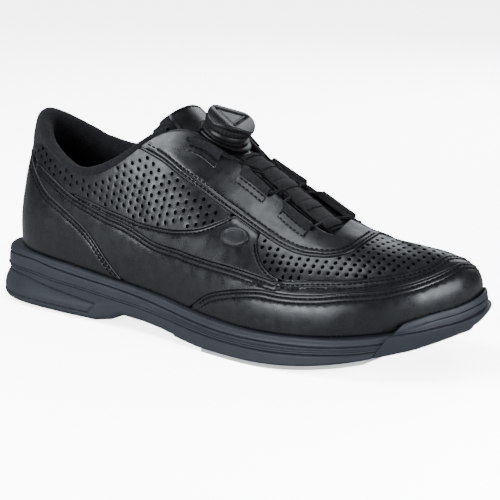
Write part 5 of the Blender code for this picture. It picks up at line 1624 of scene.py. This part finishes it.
def build_stage():
    bpy.ops.mesh.primitive_plane_add(size=12)
    floor = bpy.context.object
    floor.name = "floor"
    made = bpy.data.materials.new("pale floor")
    made.use_nodes = True
    tree = made.node_tree
    matt = tree.nodes.new("ShaderNodeBsdfDiffuse")
    tree.links.new(brighter_for_camera(tree, 0.55, 9.0), matt.inputs["Color"])
    glow = tree.nodes.new("ShaderNodeEmission")
    tree.links.new(brighter_for_camera(tree, 0.0, 1.0), glow.inputs["Color"])
    glow.inputs["Strength"].default_value = 3.5
    both = tree.nodes.new("ShaderNodeAddShader")
    tree.links.new(matt.outputs["BSDF"], both.inputs[0])
    tree.links.new(glow.outputs["Emission"], both.inputs[1])
    tree.links.new(both.outputs["Shader"], tree.nodes["Material Output"].inputs["Surface"])
    floor.data.materials.append(made)
    world = bpy.context.scene.world or bpy.data.worlds.new("studio")
    bpy.context.scene.world = world
    world.use_nodes = True
    tree = world.node_tree
    tree.links.new(brighter_for_camera(tree, 1.0, 60.0), tree.nodes["Background"].inputs["Color"])
    tree.nodes["Background"].inputs["Strength"].default_value = 0.15
    for name, place, aim, size, power in (
        ("overhead", (-0.25, -0.25, 1.0), (0.13, 0, 0.05), (0.6, 0.6), 5.0),
        ("lateral", (-0.14, -0.99, 0.165), (0.16, 0, 0.05), (0.9, 0.29), 7.4),
        ("front", (1.15, -0.36, 0.26), (0.2, 0, 0.05), (0.3, 0.3), 1.5),
        ("toe", (0.62, -0.05, 0.12), (0.26, 0, 0.045), (0.35, 0.2), 1.2),
        ("back", (0.0, 0.9, 0.6), (0.13, 0, 0.06), (0.6, 0.6), 2.5),
    ):
        lamp = bpy.data.lights.new(name, "AREA")
        lamp.shape = "RECTANGLE"
        lamp.size, lamp.size_y = size
        lamp.energy = power
        lamp.color = (0.90, 0.95, 1.0)
        obj = bpy.data.objects.new(name, lamp)
        obj.location = place
        obj.rotation_euler = (Vector(aim) - Vector(place)).to_track_quat("-Z", "Y").to_euler()
        bpy.context.scene.collection.objects.link(obj)


def build_camera():
    azimuth, elevation, distance = math.radians(37.11), math.radians(12.908), 1.0695
    target = Vector((0.13107, 0, 0.04418))
    back = Vector((math.sin(azimuth) * math.cos(elevation), -math.cos(azimuth) * math.cos(elevation),
                   math.sin(elevation)))
    data = bpy.data.cameras.new("camera")
    data.lens = 147.2
    data.sensor_width = 36.0
    camera = bpy.data.objects.new("camera", data)
    camera.location = target + back * distance
    camera.rotation_euler = (-back).to_track_quat("-Z", "Y").to_euler()
    bpy.context.scene.collection.objects.link(camera)
    bpy.context.scene.camera = camera


def repaint(paints):
    """The CAD nodes that stay in view take the scene's materials."""
    slots = {"steel": ("shank", "dial_post"), "plastic": ("lace_spool", "ratchet_disc")}
    for paint, nodes in slots.items():
        for node in nodes:
            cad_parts[node].data.materials.clear()
            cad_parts[node].data.materials.append(paints[paint])


PAINTS = make_paints()
for body, builders in (
    ("shoe", (build_counter, build_mudguard, build_wrap, build_mids, build_quarters, build_vamp, build_apron,
              build_sole, build_tread, build_collar, build_linings, build_footbed, build_emblem)),
    ("tongue", (build_tongue, build_strap)),
    ("shoe", (build_loops,)),
):
    for build in builders:
        ride_all(build(PAINTS), body)
build_gussets(PAINTS)
build_lace(PAINTS)
FIXED_DIAL, TURNING_DIAL = build_dial(PAINTS)
ride_all(FIXED_DIAL, "tongue")
ride_all(TURNING_DIAL, "dial_knob")
repaint(PAINTS)
build_stage()
build_camera()
